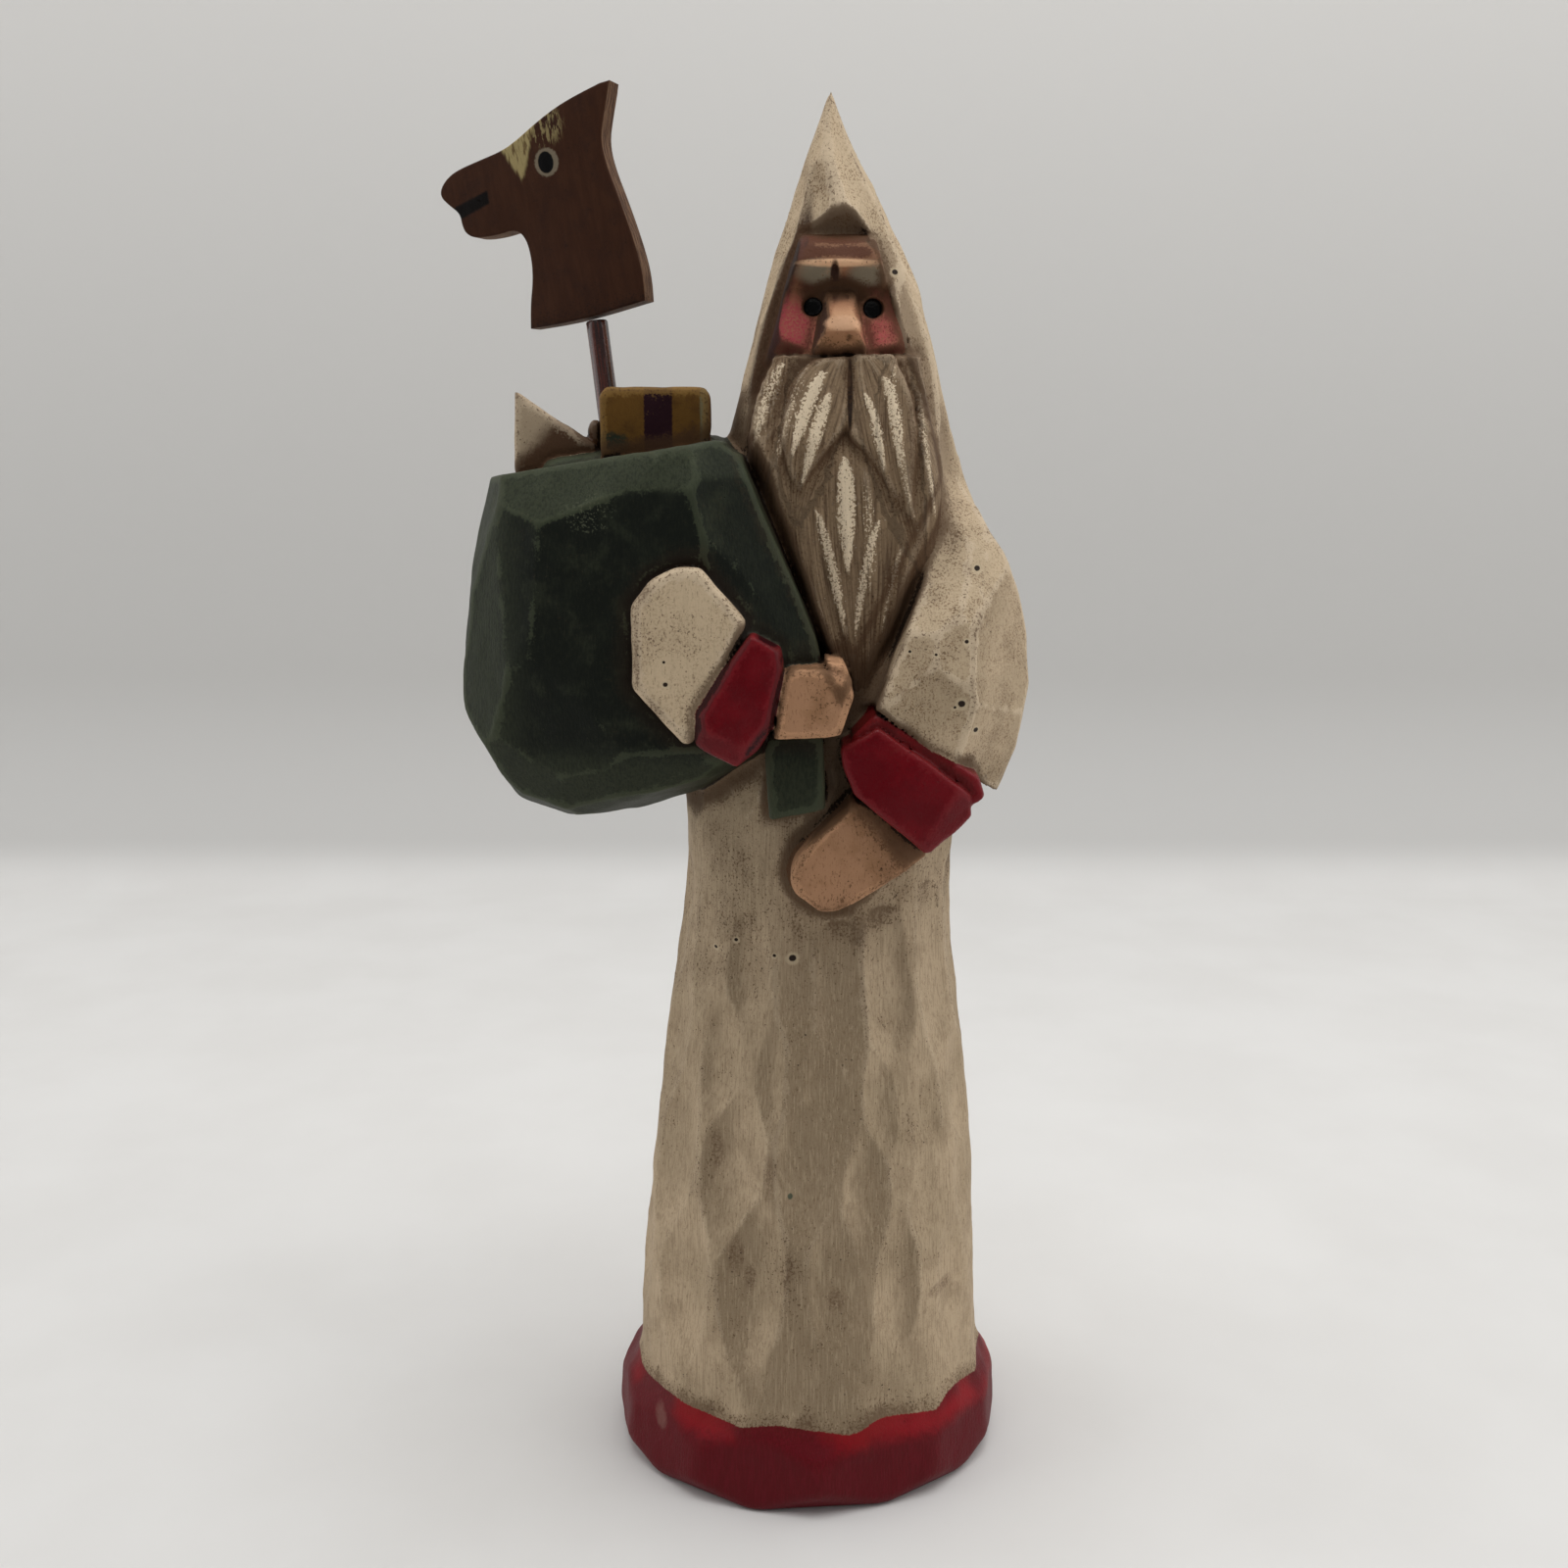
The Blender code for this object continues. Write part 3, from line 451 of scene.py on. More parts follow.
# The arms: wide sleeves, red cuffs and mitten hands. Each is a flat-fronted block with its rim knocked off,
# so that wash and painted shade darken round its foot and the rim wears pale.
left_cuff_outline = [(10.4, 145.0), (4.4, 141.4), (4.9, 138.0), (6.5, 133.7), (18.4, 123.5), (19.5, 123.6),
                     (26.2, 129.6), (26.4, 133.2), (24.8, 134.8)]
left_cuff_facets = [cut(15.0, -33.0, 134.6, 358, 4), cut(20.8, -32.9, 129.6, 26, -15)]
cuff_lining_outline = [(10.2, 147.0), (6.0, 143.0), (6.4, 138.0), (20.0, 127.0), (26.4, 131.2),
                       (28.4, 133.0), (27.4, 136.4)]
left_hand_outline = [(6.4, 132.6), (2.6, 128.3), (-1.4, 124.2), (-3.2, 121.5), (-4.0, 118.2), (-3.2, 115.8),
                     (1.4, 112.4), (4.2, 112.5), (11.0, 116.4), (19.2, 122.0), (17.0, 130.0)]
left_hand_facets = [cut(12.5, -29.0, 120.0, 24)]
right_sleeve_outline = [(-29.4, 165.0), (-26.4, 168.9), (-21.8, 171.2), (-18.4, 171.1), (-15.0, 167.4),
                        (-11.2, 162.4), (-11.4, 160.6), (-19.6, 142.6), (-21.4, 142.6), (-29.5, 151.8)]
right_cuff_outline = [(-9.9, 160.6, 0.7), (-10.9, 160.2, 0.9), (-16.5, 153.2, 3.2), (-19.8, 148.0, 3.4),
                      (-19.6, 142.7, 2.6), (-17.4, 141.2, 1.8), (-12.7, 138.9, 3.2), (-9.3, 141.6, 3.2),
                      (-6.5, 145.4, 2.8), (-4.6, 153.2, 1.2), (-5.5, 158.0, 0.8)]
right_cuff_facets = [cut(-12.5, -37.2, 142.6, 348, -24)]
fist_outline = [(-5.4, 154.2), (-3.8, 155.0), (2.0, 155.0), (5.6, 153.4), (6.3, 150.6), (4.2, 144.2),
                (1.4, 143.7), (-7.0, 143.5)]
knuckle_outline = [(1.6, 156.0), (4.7, 155.6), (6.2, 152.6), (2.4, 150.5)]
arms = [
    ("cuff", cuff_lining_outline, (-30.8, -29.8, -12.0, 0.6, 1, 0.0), [], 0.3, 0.1),
    ("cuff", left_cuff_outline, (-33.0, -31.2, -12.0, 0.6, 1, 0.0), left_cuff_facets, 0.25, 0.3),
    ("hand", left_hand_outline, (-29.0, -27.4, -12.0, 1.2, 1, 0.0), left_hand_facets, 0.5, 0.45),
    ("cloth", right_sleeve_outline, (-36.0, -34.6, -20.0, 1.3, 1, 0.0), [], 0.5, 0.45),
    ("cuff", right_cuff_outline, (-37.3, -34.6, -20.0, 1.0, 1, 0.0), right_cuff_facets, 0.15, 0.35),
    ("hand", fist_outline, (-36.4, -35.4, -18.0, 0.9, 1, 0.0), [], 0.4, 0.4),
    ("hand", knuckle_outline, (-35.6, -35.0, -18.0, 0.6, 1, 0.0), [], 0.3, 0.15),
]
for paint, outline, sizes, facets, soft, crease in arms:
    add(paint, hewn(pillow_cuts(outline, *sizes) + facets, soft), crease=crease)

# What sticks out of the sack: a box in mustard paper, a pale three-cornered piece, and the
# blob of glue at the foot of the stick. All but the stick are part of the casting.
gift_outline = [(-36.6, 188.0), (-36.6, 198.9), (-35.4, 200.3), (-18.6, 200.3), (-17.6, 198.9),
                (-17.6, 188.0)]
sail_outline = [(-51.6, 200.0), (-37.6, 190.4), (-38.6, 183.0), (-52.2, 183.0)]
blob_outline = [(-39.3, 189.0), (-39.4, 194.0), (-38.4, 195.2), (-36.9, 194.6), (-36.6, 189.0)]
gift_cuts = pillow_cuts(gift_outline, -10.6, -9.4, -0.6, 1.0) + [cut(-17.8, -10.0, 194, 62)]
add("gift", hewn(gift_cuts, 0.3), crease=0.3)
add("sail", hewn(pillow_cuts(sail_outline, -7.0, -6.0, -1.6, 0.8), 0.25), crease=0.3)
add("glue", hewn(pillow_cuts(blob_outline, -5.2, -3.6, 0.4, 1.0), 0.8), fillet=0.4)
stick_low, stick_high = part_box("horse_stick")
stick_lean = math.radians(6.5)
stick_way = Vector((-math.sin(stick_lean), 0.0, math.cos(stick_lean)))
stick_across = (stick_high[1] - stick_low[1]) * 1000.0
stick_axis_y = (stick_high[1] + stick_low[1]) * 500.0
stick_foot = Vector((stick_high[0] * 1000.0 - stick_across / 2 * math.cos(stick_lean), stick_axis_y,
                     stick_low[2] * 1000.0 + stick_across / 2 * math.sin(stick_lean)))


def stick_socket(x, y, z):
    x, y, z = x - stick_foot.x, y - stick_foot.y, z - stick_foot.z
    along = x * stick_way.x + z * stick_way.z
    radial = np.sqrt((x - along * stick_way.x) ** 2 + y * y + (z - along * stick_way.z) ** 2)
    return np.maximum(radial - stick_across / 2 - 0.3, -0.5 - along)


take(stick_socket, 0.2)

# The casting: the whole figure poured in one piece, in resin, from the carved model. Its skin
# is found on a fine grid, then thinned where it is flat.
PITCH = 0.55
MOST_TRIANGLES = 192000
SEAM_WIDE = 0.7
SEAM_DEEP = 1.5
FAR_OFF = 30.0
cast_low = np.array([-63.0, -40.5, -2.5])
cast_high = np.array([41.0, 36.5, 252.5])
grid = [np.arange(low, high, PITCH, dtype=np.float32) for low, high in zip(cast_low, cast_high)]
grid_x, grid_y, grid_z = grid[0][:, None, None], grid[1][None, :, None], grid[2][None, None, :]
field = np.full([len(axis) for axis in grid], FAR_OFF, np.float32)


def block_of(form, margin, step=3.0):
    """The part of the grid that a form reaches, found on a coarse grid first."""
    rough = [np.arange(axis[0], axis[-1] + step, step, dtype=np.float32) for axis in grid]
    near = form(rough[0][:, None, None], rough[1][None, :, None], rough[2][None, None, :]) < margin
    block = []
    for axis, coarse in enumerate(rough):
        others = tuple(other for other in range(3) if other != axis)
        hits = coarse[np.any(np.broadcast_to(near, [len(r) for r in rough]), axis=others)]
        block.append(slice(*np.searchsorted(grid[axis], (hits[0] - step, hits[-1] + step))))
    return tuple(block)


for work, paint, form, soft, crease in carving:
    block = block_of(form, 5.0 if work == "add" else 2.0)
    near = form(grid_x[block[0]], grid_y[:, block[1]], grid_z[:, :, block[2]])
    if work != "add":
        field[block] = soft_max(field[block], -near, soft)
    elif crease > 0.0:
        joined = np.minimum(field[block], near)
        seam = np.exp(-(((field[block] - near) / SEAM_WIDE) ** 2) - (joined / SEAM_DEEP) ** 2)
        field[block] = joined + crease * seam
    else:
        field[block] = -soft_max(-field[block], -near, soft)

# The hand is never quite steady: a slow unevenness all over, none of it at the flat underside.
steady = np.clip(grid_z / 6.0, 0.0, 1.0)
for size, amount, shift in ((15.0, 0.16, 0.3), (7.0, 0.09, 1.9), (3.4, 0.03, 4.1)):
    turn = 2.0 * math.pi / size
    waves = np.sin(grid_x * turn + shift + np.sin(grid_z * turn * 0.6))
    waves = waves * np.sin(grid_y * turn * 1.1 + 2 * shift)
    field += steady * np.float32(amount) * waves * np.sin(grid_z * turn * 0.55 + 3 * shift)


def skin_of(field):
    """The skin where the field is zero: a point in each cell that it crosses, joined by four-sided faces."""
    inside = field < 0.0
    cells = np.zeros([n - 1 for n in field.shape], np.uint8)
    corners = [(i, j, k) for i in (0, 1) for j in (0, 1) for k in (0, 1)]
    for i, j, k in corners:
        cells += inside[i:i + cells.shape[0], j:j + cells.shape[1], k:k + cells.shape[2]]
    crossed = (cells > 0) & (cells < 8)
    at = np.argwhere(crossed)
    number = np.full(cells.shape, -1, np.int32)
    number[crossed] = np.arange(len(at))
    values = {corner: field[tuple((at + corner).T)] for corner in corners}
    total, count = np.zeros(at.shape), np.zeros(len(at))
    for one in corners:
        for axis in range(3):
            if one[axis]:
                continue
            other = tuple(value + (place == axis) for place, value in enumerate(one))
            share = values[one] / np.where(values[one] == values[other], 1.0, values[one] - values[other])
            meets = (values[one] < 0) != (values[other] < 0)
            point = np.repeat(np.array([one], float), len(at), axis=0)
            point[:, axis] += share
            total += point * meets[:, None]
            count += meets
    points = at + total / count[:, None]
    faces = []
    for axis in range(3):
        side, rise = np.eye(3, dtype=int)[(axis + 1) % 3], np.eye(3, dtype=int)[(axis + 2) % 3]
        here = [slice(1, -1)] * 3
        here[axis] = slice(0, -1)
        there = list(here)
        there[axis] = slice(1, None)
        leaving, arriving = inside[tuple(here)], inside[tuple(there)]
        found = leaving != arriving
        start = np.argwhere(found) + side + rise
        ring = [number[tuple((start - shift).T)] for shift in (side + rise, rise, 0 * side, side)]
        quads = np.stack(ring, axis=1)
        outward = leaving[found]
        faces.append(np.where(outward[:, None], quads, quads[:, ::-1]))
    return points, np.concatenate(faces)


def read(points):
    """The field at points, in millimetres from the skin."""
    places = (points - cast_low) / PITCH
    base = np.clip(places.astype(int), 0, np.array(field.shape) - 2)
    share = places - base
    value = 0.0
    for i in (0, 1):
        for j in (0, 1):
            for k in (0, 1):
                weight = np.prod(np.where((i, j, k), share, 1.0 - share), axis=1)
                value = value + weight * field[base[:, 0] + i, base[:, 1] + j, base[:, 2] + k]
    return value


def outward(points, step=0.35):
    """The way out of the skin at points."""
    shifts = np.eye(3) * step
    slope = np.stack([read(points + shift) - read(points - shift) for shift in shifts], axis=1)
    return slope / np.maximum(np.linalg.norm(slope, axis=1), 1e-6)[:, None]


points, faces = skin_of(field)
points = points * PITCH + cast_low
for _ in range(2):
    points -= outward(points) * np.clip(read(points), -0.3, 0.3)[:, None]

cast_mesh = bpy.data.meshes.new("cast_figure")
cast_mesh.from_pydata((points * 0.001).tolist(), [], faces.tolist())
cast = bpy.data.objects.new("cast_figure", cast_mesh)
bpy.context.scene.collection.objects.link(cast)
thin = cast.modifiers.new("thin_where_flat", "DECIMATE")
thin.ratio = min(1.0, MOST_TRIANGLES / (2.0 * len(faces)))
graph = bpy.context.evaluated_depsgraph_get()
cast.data = bpy.data.meshes.new_from_object(cast.evaluated_get(graph))
cast.modifiers.clear()
cast.data.name = "cast_figure"
cast.data.shade_smooth()

# The paint is laid on by hand over the whole casting, up to each join. The mesh carries how far
# inside its own paint each point lies, and how hollow or sharp the form is there.
skin = np.empty(len(cast.data.vertices) * 3, np.float32)
cast.data.vertices.foreach_get("co", skin)
skin = skin.reshape(-1, 3).astype(float) * 1000.0
out = outward(skin, 0.5)


def keep(name, values):
    made = cast.data.attributes.new(name, "FLOAT", "POINT")
    made.data.foreach_set("value", np.ascontiguousarray(values, np.float32))


skin_x, skin_y, skin_z = skin.astype(np.float32).T
reach = {}
for work, paint, form, soft, crease in carving:
    if work == "stroke":
        continue
    near = form(skin_x, skin_y, skin_z)
    if work == "take":
        reach = {name: np.maximum(far, -near) for name, far in reach.items()}
    elif work == "add":
        reach[paint] = np.minimum(reach.get(paint, near), near)
for name, far in reach.items():
    others = np.min([other for label, other in reach.items() if label != name], axis=0)
    keep("in_" + name, np.clip(others - far, -4.0, 4.0))
keep("hollow", np.clip(1.0 - read(skin + out) / 1.0, 0.0, 1.5))
keep("deep_hollow", np.clip(1.0 - read(skin + out * 4.0) / 4.0, 0.0, 1.5))
turning = np.zeros(len(skin))
along_skin = np.cross(out, (0.31, 0.22, 0.92))
along_skin /= np.maximum(np.linalg.norm(along_skin, axis=1), 1e-6)[:, None]
for way in (along_skin, np.cross(out, along_skin)):
    turning += np.sum((outward(skin + way * 0.7) - outward(skin - way * 0.7)) * way, axis=1)
keep("ridge", np.clip((turning - 0.16) / 0.6, 0.0, 1.0))
keep("recess", np.clip(1.0 - np.abs(scooped(skin_x, skin_y, skin_z)) / 0.9, 0.0, 1.0))
keep("lock", lock_height(skin_x, skin_z) * (skin_y < -12.0))
strand_across, strand_along = leaf(skin_x, skin_z, *strand_ways[2])
strand_across = strand_across * 9.0
for way in (strand_ways[0], strand_ways[1], strand_ways[3], strand_ways[4]):
    across, along = leaf(skin_x, skin_z, *way)
    within = (np.abs(across) < 1.0) & (along > 0.0) & (along < 1.0)
    strand_across = np.where(within, across * way[2] + 40.0 * way[2], strand_across)
    strand_along = np.where(within, along, strand_along)
keep("strand", strand_across)
keep("strand_along", strand_along)
for number, (eye_x, eye_z) in enumerate(eyes):
    keep(f"eye_{number}", np.clip(1.75 - np.hypot(skin_x - eye_x, skin_z - eye_z), -4.0, 4.0))

# Paint: satin acrylics brushed on, then a brown wash wiped off so that it stays in the hollows and in the
# grain of the casting, with shade and light painted in as well. The helpers add their nodes to the tree in
# hand.


def node(kind, values=None, **settings):
    made = tree.nodes.new("ShaderNode" + kind)
    for name, value in settings.items():
        setattr(made, name, value)
    for name, value in (values or {}).items():
        socket = made.inputs[name]
        if isinstance(value, bpy.types.NodeSocket):
            tree.links.new(value, socket)
        else:
            socket.default_value = value
    return made


def figure(operation, one, other=0.0, clamp=False):
    return node("Math", {0: one, 1: other}, operation=operation, use_clamp=clamp).outputs[0]


def between(value, low, high, start=0.0, end=1.0):
    """The value stretched from low..high to start..end, with soft ends."""
    ends = {"From Min": low, "From Max": high, "To Min": start, "To Max": end}
    return node("MapRange", {"Value": value, **ends}, interpolation_type="SMOOTHSTEP").outputs["Result"]


def linear(value):
    """A value as seen, 0 to 255, as the share of the light that the shader takes."""
    value = value / 255.0
    return value / 12.92 if value <= 0.04045 else ((value + 0.055) / 1.055) ** 2.4


def paint_of(given):
    """A colour given by its three values as seen on the object, as four for the shader. Others stay."""
    seen = isinstance(given, tuple) and len(given) == 3
    return (*map(linear, given), 1.0) if seen else given


def over(mask, under, top):
    """One paint over another, where the mask lets it show."""
    return node("Mix", {0: mask, 6: paint_of(under), 7: paint_of(top)}, data_type="RGBA").outputs[2]


def laid(under, *coats):
    """Coats over a paint in their order, each with its own mask."""
    for mask, top in coats:
        under = over(mask, under, top)
    return under


def group(name, inputs, outputs):
    tree = bpy.data.node_groups.new(name, "ShaderNodeTree")
    for label, kind, value in inputs:
        socket = tree.interface.new_socket(label, in_out="INPUT", socket_type="NodeSocket" + kind)
        socket.default_value = value
    for label, kind in outputs:
        tree.interface.new_socket(label, in_out="OUTPUT", socket_type="NodeSocket" + kind)
    return tree, tree.nodes.new("NodeGroupInput"), tree.nodes.new("NodeGroupOutput")


def millimetres(stretch=(1.0, 1.0, 1.0)):
    place = node("TexCoord").outputs["Object"]
    scaled = node("VectorMath", {0: place, 1: tuple(1000.0 * s for s in stretch)}, operation="MULTIPLY")
    return scaled.outputs[0]


def noise(where, scale, detail=4.0, roughness=0.6):
    made = node("TexNoise", {"Vector": where, "Scale": scale, "Detail": detail, "Roughness": roughness})
    return made.outputs["Fac"]


def use(made_group, values):
    return node("Group", values, node_tree=made_group)


def times(one, other, then_add=0.0):
    return node("Math", {0: one, 1: other, 2: then_add}, operation="MULTIPLY_ADD").outputs[0]


def separate(where):
    """The three parts of a place."""
    return node("SeparateXYZ", {0: where}).outputs


def spot(place, x, z, wide, tall, ragged=0.0, soft=0.35):
    """A rounded patch seen from the front: its middle, half its width and height, how its edge wanders."""
    across = figure("DIVIDE", figure("SUBTRACT", place[0], x), wide)
    upward = figure("DIVIDE", figure("SUBTRACT", place[2], z), tall)
    far = times(across, across, times(upward, upward, ragged))
    return between(far, 1.0 + soft, 1.0 - soft)


def beside(place, one, two, ragged=0.0, soft=0.15):
    """All that lies to the left of a line, going from one end to the other, seen from the front."""
    run_x, run_z = two[0] - one[0], two[1] - one[1]
    length = math.hypot(run_x, run_z)
    along_x = times(figure("SUBTRACT", place[0], one[0]), -run_z / length, ragged)
    side = times(figure("SUBTRACT", place[2], one[1]), run_x / length, along_x)
    return between(side, -soft, soft)


# The wash grains as it dries: a film where the form is hollow, and specks around it.
tree, wash_in, wash_out = group(
    "granular_wash",
    [("Paint", "Color", (1, 1, 1, 1)), ("Wash", "Color", (0, 0, 0, 1)), ("Hollow", "Float", 0.0),
     ("Grain", "Float", 0.5), ("Film", "Float", 0.5), ("Specks", "Float", 1.0)],
    [("Color", "Color"), ("Covered", "Float")])
given, wash = wash_in.outputs, tree
film = times(between(given["Hollow"], 0.1, 1.0), given["Film"])
grainy = times(figure("SUBTRACT", given["Grain"], 0.5), 3.4, given["Hollow"])
covered = figure("MAXIMUM", film, times(between(grainy, 0.5, 0.63), given["Specks"]), clamp=True)
tree.links.new(over(covered, given["Paint"], given["Wash"]), wash_out.inputs["Color"])
tree.links.new(covered, wash_out.inputs["Covered"])

# Ridges wear: the paint is rubbed thin, or catches a dry brush, where the form is sharp.
tree, worn_in, worn_out = group(
    "worn_ridge",
    [("Paint", "Color", (1, 1, 1, 1)), ("Bare", "Color", (1, 1, 1, 1)), ("Ridge", "Float", 0.0),
     ("Grain", "Float", 0.5), ("Cover", "Float", 1.0)],
    [("Color", "Color"), ("Worn", "Float")])
given, wear = worn_in.outputs, tree
broken = times(figure("SUBTRACT", given["Grain"], 0.5), 1.6, given["Ridge"])
rubbed = times(between(broken, 0.25, 0.75), given["Cover"])
tree.links.new(over(rubbed, given["Paint"], given["Bare"]), worn_out.inputs["Color"])
tree.links.new(rubbed, worn_out.inputs["Worn"])

painted = bpy.data.materials.new("hand_painted_resin")
painted.use_nodes = True
tree = painted.node_tree
satin = tree.nodes["Principled BSDF"]
mm = millimetres()
place = separate(mm)
grain = noise(mm, 2.4, 2.0, 0.6)
blotch = noise(mm, 0.16, 4.0, 0.6)
patch = noise(mm, 0.045, 3.0, 0.5)
fleck = noise(millimetres((1.0, 1.0, 0.3)), 2.8, 4.0, 0.65)
hair_line = noise(millimetres((1.0, 1.0, 0.05)), 3.2, 2.0, 0.5)
ragged = times(grain, 0.5, -0.25)
straggling = times(noise(mm, 0.8, 4.0, 0.7), 2.4, -1.2)
front = between(place[1], -6.0, -9.0)
facing_way = separate(node("NewGeometry").outputs["Normal"])


def held(name):
    return node("Attribute", attribute_name=name).outputs["Fac"]


def coat(name):
    """Where a paint was brushed: its own part of the casting, with an unsteady edge."""
    return between(times(ragged, 0.8, held("in_" + name)), -0.1, 0.1)


hollow, deep_hollow, ridge = held("hollow"), held("deep_hollow"), held("ridge")

# Cream on the robe, hood and sleeves: two thin coats, yellower in places, flecked along the grain.
cream = over(between(patch, 0.4, 0.62), (192, 170, 141), (174, 154, 126))
cream = over(between(blotch, 0.46, 0.7, 0.0, 0.5), cream, (154, 134, 108))
sideways = figure("ABSOLUTE", facing_way[0])
# Painted shade: low on the robe, facets facing straight ahead or back are painted darker, more so towards
# the hem.
low_front_shade = times(between(place[2], 132.0, 92.0, 0.0, 0.74), between(sideways, 0.5, 0.2, 0.16, 1.0))
cream = over(low_front_shade, cream, (136, 118, 94))
# Painted light: cloth above the hands that faces upwards is painted paler.
lit = times(between(facing_way[2], 0.1, 0.5, 0.0, 0.4), between(place[2], 128.0, 136.0))
cream = laid(cream,
             (lit, (216, 194, 162)),
             (between(place[1], -34.4, -35.4, 0.0, 0.7), (210, 188, 156)))
speckle = noise(mm, 2.9, 1.0, 0.5)
speckled = times(between(speckle, 0.55, 0.62), between(blotch, 0.34, 0.6, 0.15, 0.75))
speckled = times(speckled, between(place[2], 120.0, 140.0, 0.3, 1.0))
speckled = times(speckled, between(place[1], -34.0, -35.0, 1.0, 0.4))
cream = over(speckled, cream, (124, 98, 70))
streaky = between(place[2], 136.0, 122.0, 0.25, 1.0)
dark_streak = times(between(hair_line, 0.52, 0.64, 0.0, 0.34), streaky)
cream = over(dark_streak, cream, (126, 106, 82))
light_streak = times(between(hair_line, 0.44, 0.34, 0.0, 0.28), streaky)
cream = over(light_streak, cream, (196, 176, 146))
for smear_at in ((-17.0, 66.0, 1.0, 3.6), (-13.8, 47.8, 1.6, 3.4), (-7.4, 64.0, 1.2, 3.4),
                 (-11.2, 43.6, 1.0, 2.4), (24.0, 38.0, 2.2, 1.2), (4.4, 40.0, 1.6, 2.0)):
    smear = spot(place, *smear_at, straggling, 0.9)
    smear = times(times(smear, front), between(grain, 0.36, 0.6, 0.1, 0.6))
    cream = over(smear, cream, (96, 72, 52))
# Painted shade: the hood's inner wall on the figure's left of the face is painted darker cream.
lip = times(beside(place, (23.2, 194.0), (12.4, 226.0), times(straggling, 0.3), 0.9),
            between(place[0], 5.0, 8.0))
lip = times(lip, times(between(place[2], 228.0, 222.0), between(place[2], 180.0, 190.0)))
cream = laid(cream,
             (times(lip, times(front, 0.65)), (126, 106, 84)),
             (between(fleck, 0.56, 0.68, 0.0, 0.5), (112, 90, 66)))
# Painted shade: the hood's inner wall on the figure's right of the face is painted dark brown.
hood_wall_shade = times(beside(place, (-3.9, 227.0), (-14.1, 197.6), times(straggling, 0.4), 0.5),
                between(place[0], 0.5, -1.0))
hood_wall_shade = times(times(hood_wall_shade, front), between(place[2], 196.0, 200.0))
cream = over(times(hood_wall_shade, between(grain, 0.3, 0.6, 0.75, 1.0)), cream, (56, 36, 25))
sail_stain = times(beside(place, (-41.0, 198.4), (-52.0, 187.4), straggling, 1.6), coat("sail"))
cream = over(coat("sail"), cream, over(sail_stain, (176, 156, 130), (84, 60, 42)))

# Dark red on the hem and cuffs, with light, shade and sheen painted into the red.
red = over(between(blotch, 0.4, 0.66), (94, 2, 13), (108, 5, 18))
# Painted shade: red facets that face sideways, on the figure's right, are painted darker.
turned = times(between(sideways, 0.2, 0.4), between(place[0], 0.0, -3.0))
red = over(turned, red, (44, 1, 7))
# Painted light: the top of the hem, which faces up, is painted brighter red in patches.
hem_top_light = between(times(straggling, 1.6, place[2]), 11.0, 14.5)
hem_red = over(between(hair_line, 0.44, 0.62), (90, 7, 16), (98, 10, 22))
hem_red = over(times(hem_top_light, between(patch, 0.5, 0.62)), hem_red, (134, 14, 24))
# Painted sheen: a pale pinkish spot low on the hem, on the figure's right.
hem_sheen = spot(place, -28.0, 12.4, 1.0, 2.0, straggling, 0.9)
hem_red = over(times(hem_sheen, times(front, 0.5)), hem_red, (132, 92, 82))
red = over(coat("hem"), red, hem_red)

# Green on the sack: nearly black, streaked downwards, with a paler yellowish green painted as light on the
# facets that face up, on the figure's right side and along the bottom, broken up by flecks.
green = over(between(fleck, 0.46, 0.64), (13, 18, 11), (21, 25, 16))
# Painted light: the upward facets, the figure's right side and the bottom band are painted paler.
olive_light = times(between(facing_way[2], 0.02, 0.34), 0.75, between(blotch, 0.5, 0.72, 0.0, 0.35))
olive_light = times(olive_light, between(place[0], -22.0, -13.0, 1.0, 0.45))
olive_light = figure("MAXIMUM", olive_light, between(place[0], -45.0, -54.0, 0.0, 0.55))
olive_light = figure("MAXIMUM", olive_light, between(times(straggling, 1.5, place[2]), 143.0, 137.0, 0.0, 0.5))
olive_light = times(olive_light, between(fleck, 0.36, 0.56, 0.55, 1.0))
green = over(olive_light, green, (61, 66, 48))
# Painted shade: the sack is painted near black where the cloth stands out in front of it.
shade_round_cloth = between(times(ragged, 2.4, held("in_cloth")), -2.2, -0.6)
green = over(times(times(shade_round_cloth, front), 0.85), green, (15, 12, 8))
scuffed = times(spot(place, -36.3, 179.4, 3.6, 2.8, straggling, 1.2), front)
green = over(times(scuffed, between(grain, 0.54, 0.66)), green, (84, 88, 70))

# Flesh on the face and hands. The cheeks are rouged and the sockets greyed; shade is painted under the
# hood's roof, under the brow and down the face's side towards the figure's right, and light on the brow
# ridge and the nose.
flesh = over(between(blotch, 0.42, 0.64), (172, 130, 98), (156, 116, 84))
flesh = over(between(fleck, 0.56, 0.66, 0.0, 0.5), flesh, (112, 76, 52))
face = over(between(blotch, 0.4, 0.66), (160, 112, 82), (142, 96, 70))
# Painted shade: the forehead under the hood's roof is painted darker.
face = over(between(place[2], 219.8, 220.4), face, (88, 52, 34))
# Painted shade in the face's top corners, deep under the hood.
for corner_x in (-2.9, 10.6):
    face = over(spot(place, corner_x, 223.6, 1.9, 1.6, ragged, 0.3), face, (36, 24, 17))
# Painted shade down the side of the face towards the figure's right.
face = over(beside(place, (-6.0, 208.0), (-1.6, 222.0), times(straggling, 0.5), 0.6), face, (84, 50, 38))
for eye_x, eye_z in eyes:
    inner = 0.7 if eye_x < 4 else -0.7
    # Painted shade under the brow, above each eye.
    under = spot(place, eye_x + 1.8 * inner, eye_z + 3.2, 4.1, 3.3, ragged, 0.7)
    face = over(under, face, (78, 48, 33))
    socket = spot(place, eye_x + inner, eye_z + 5.3, 3.3, 1.7, ragged, 0.9)
    face = over(times(socket, 0.85), face, (136, 126, 106))
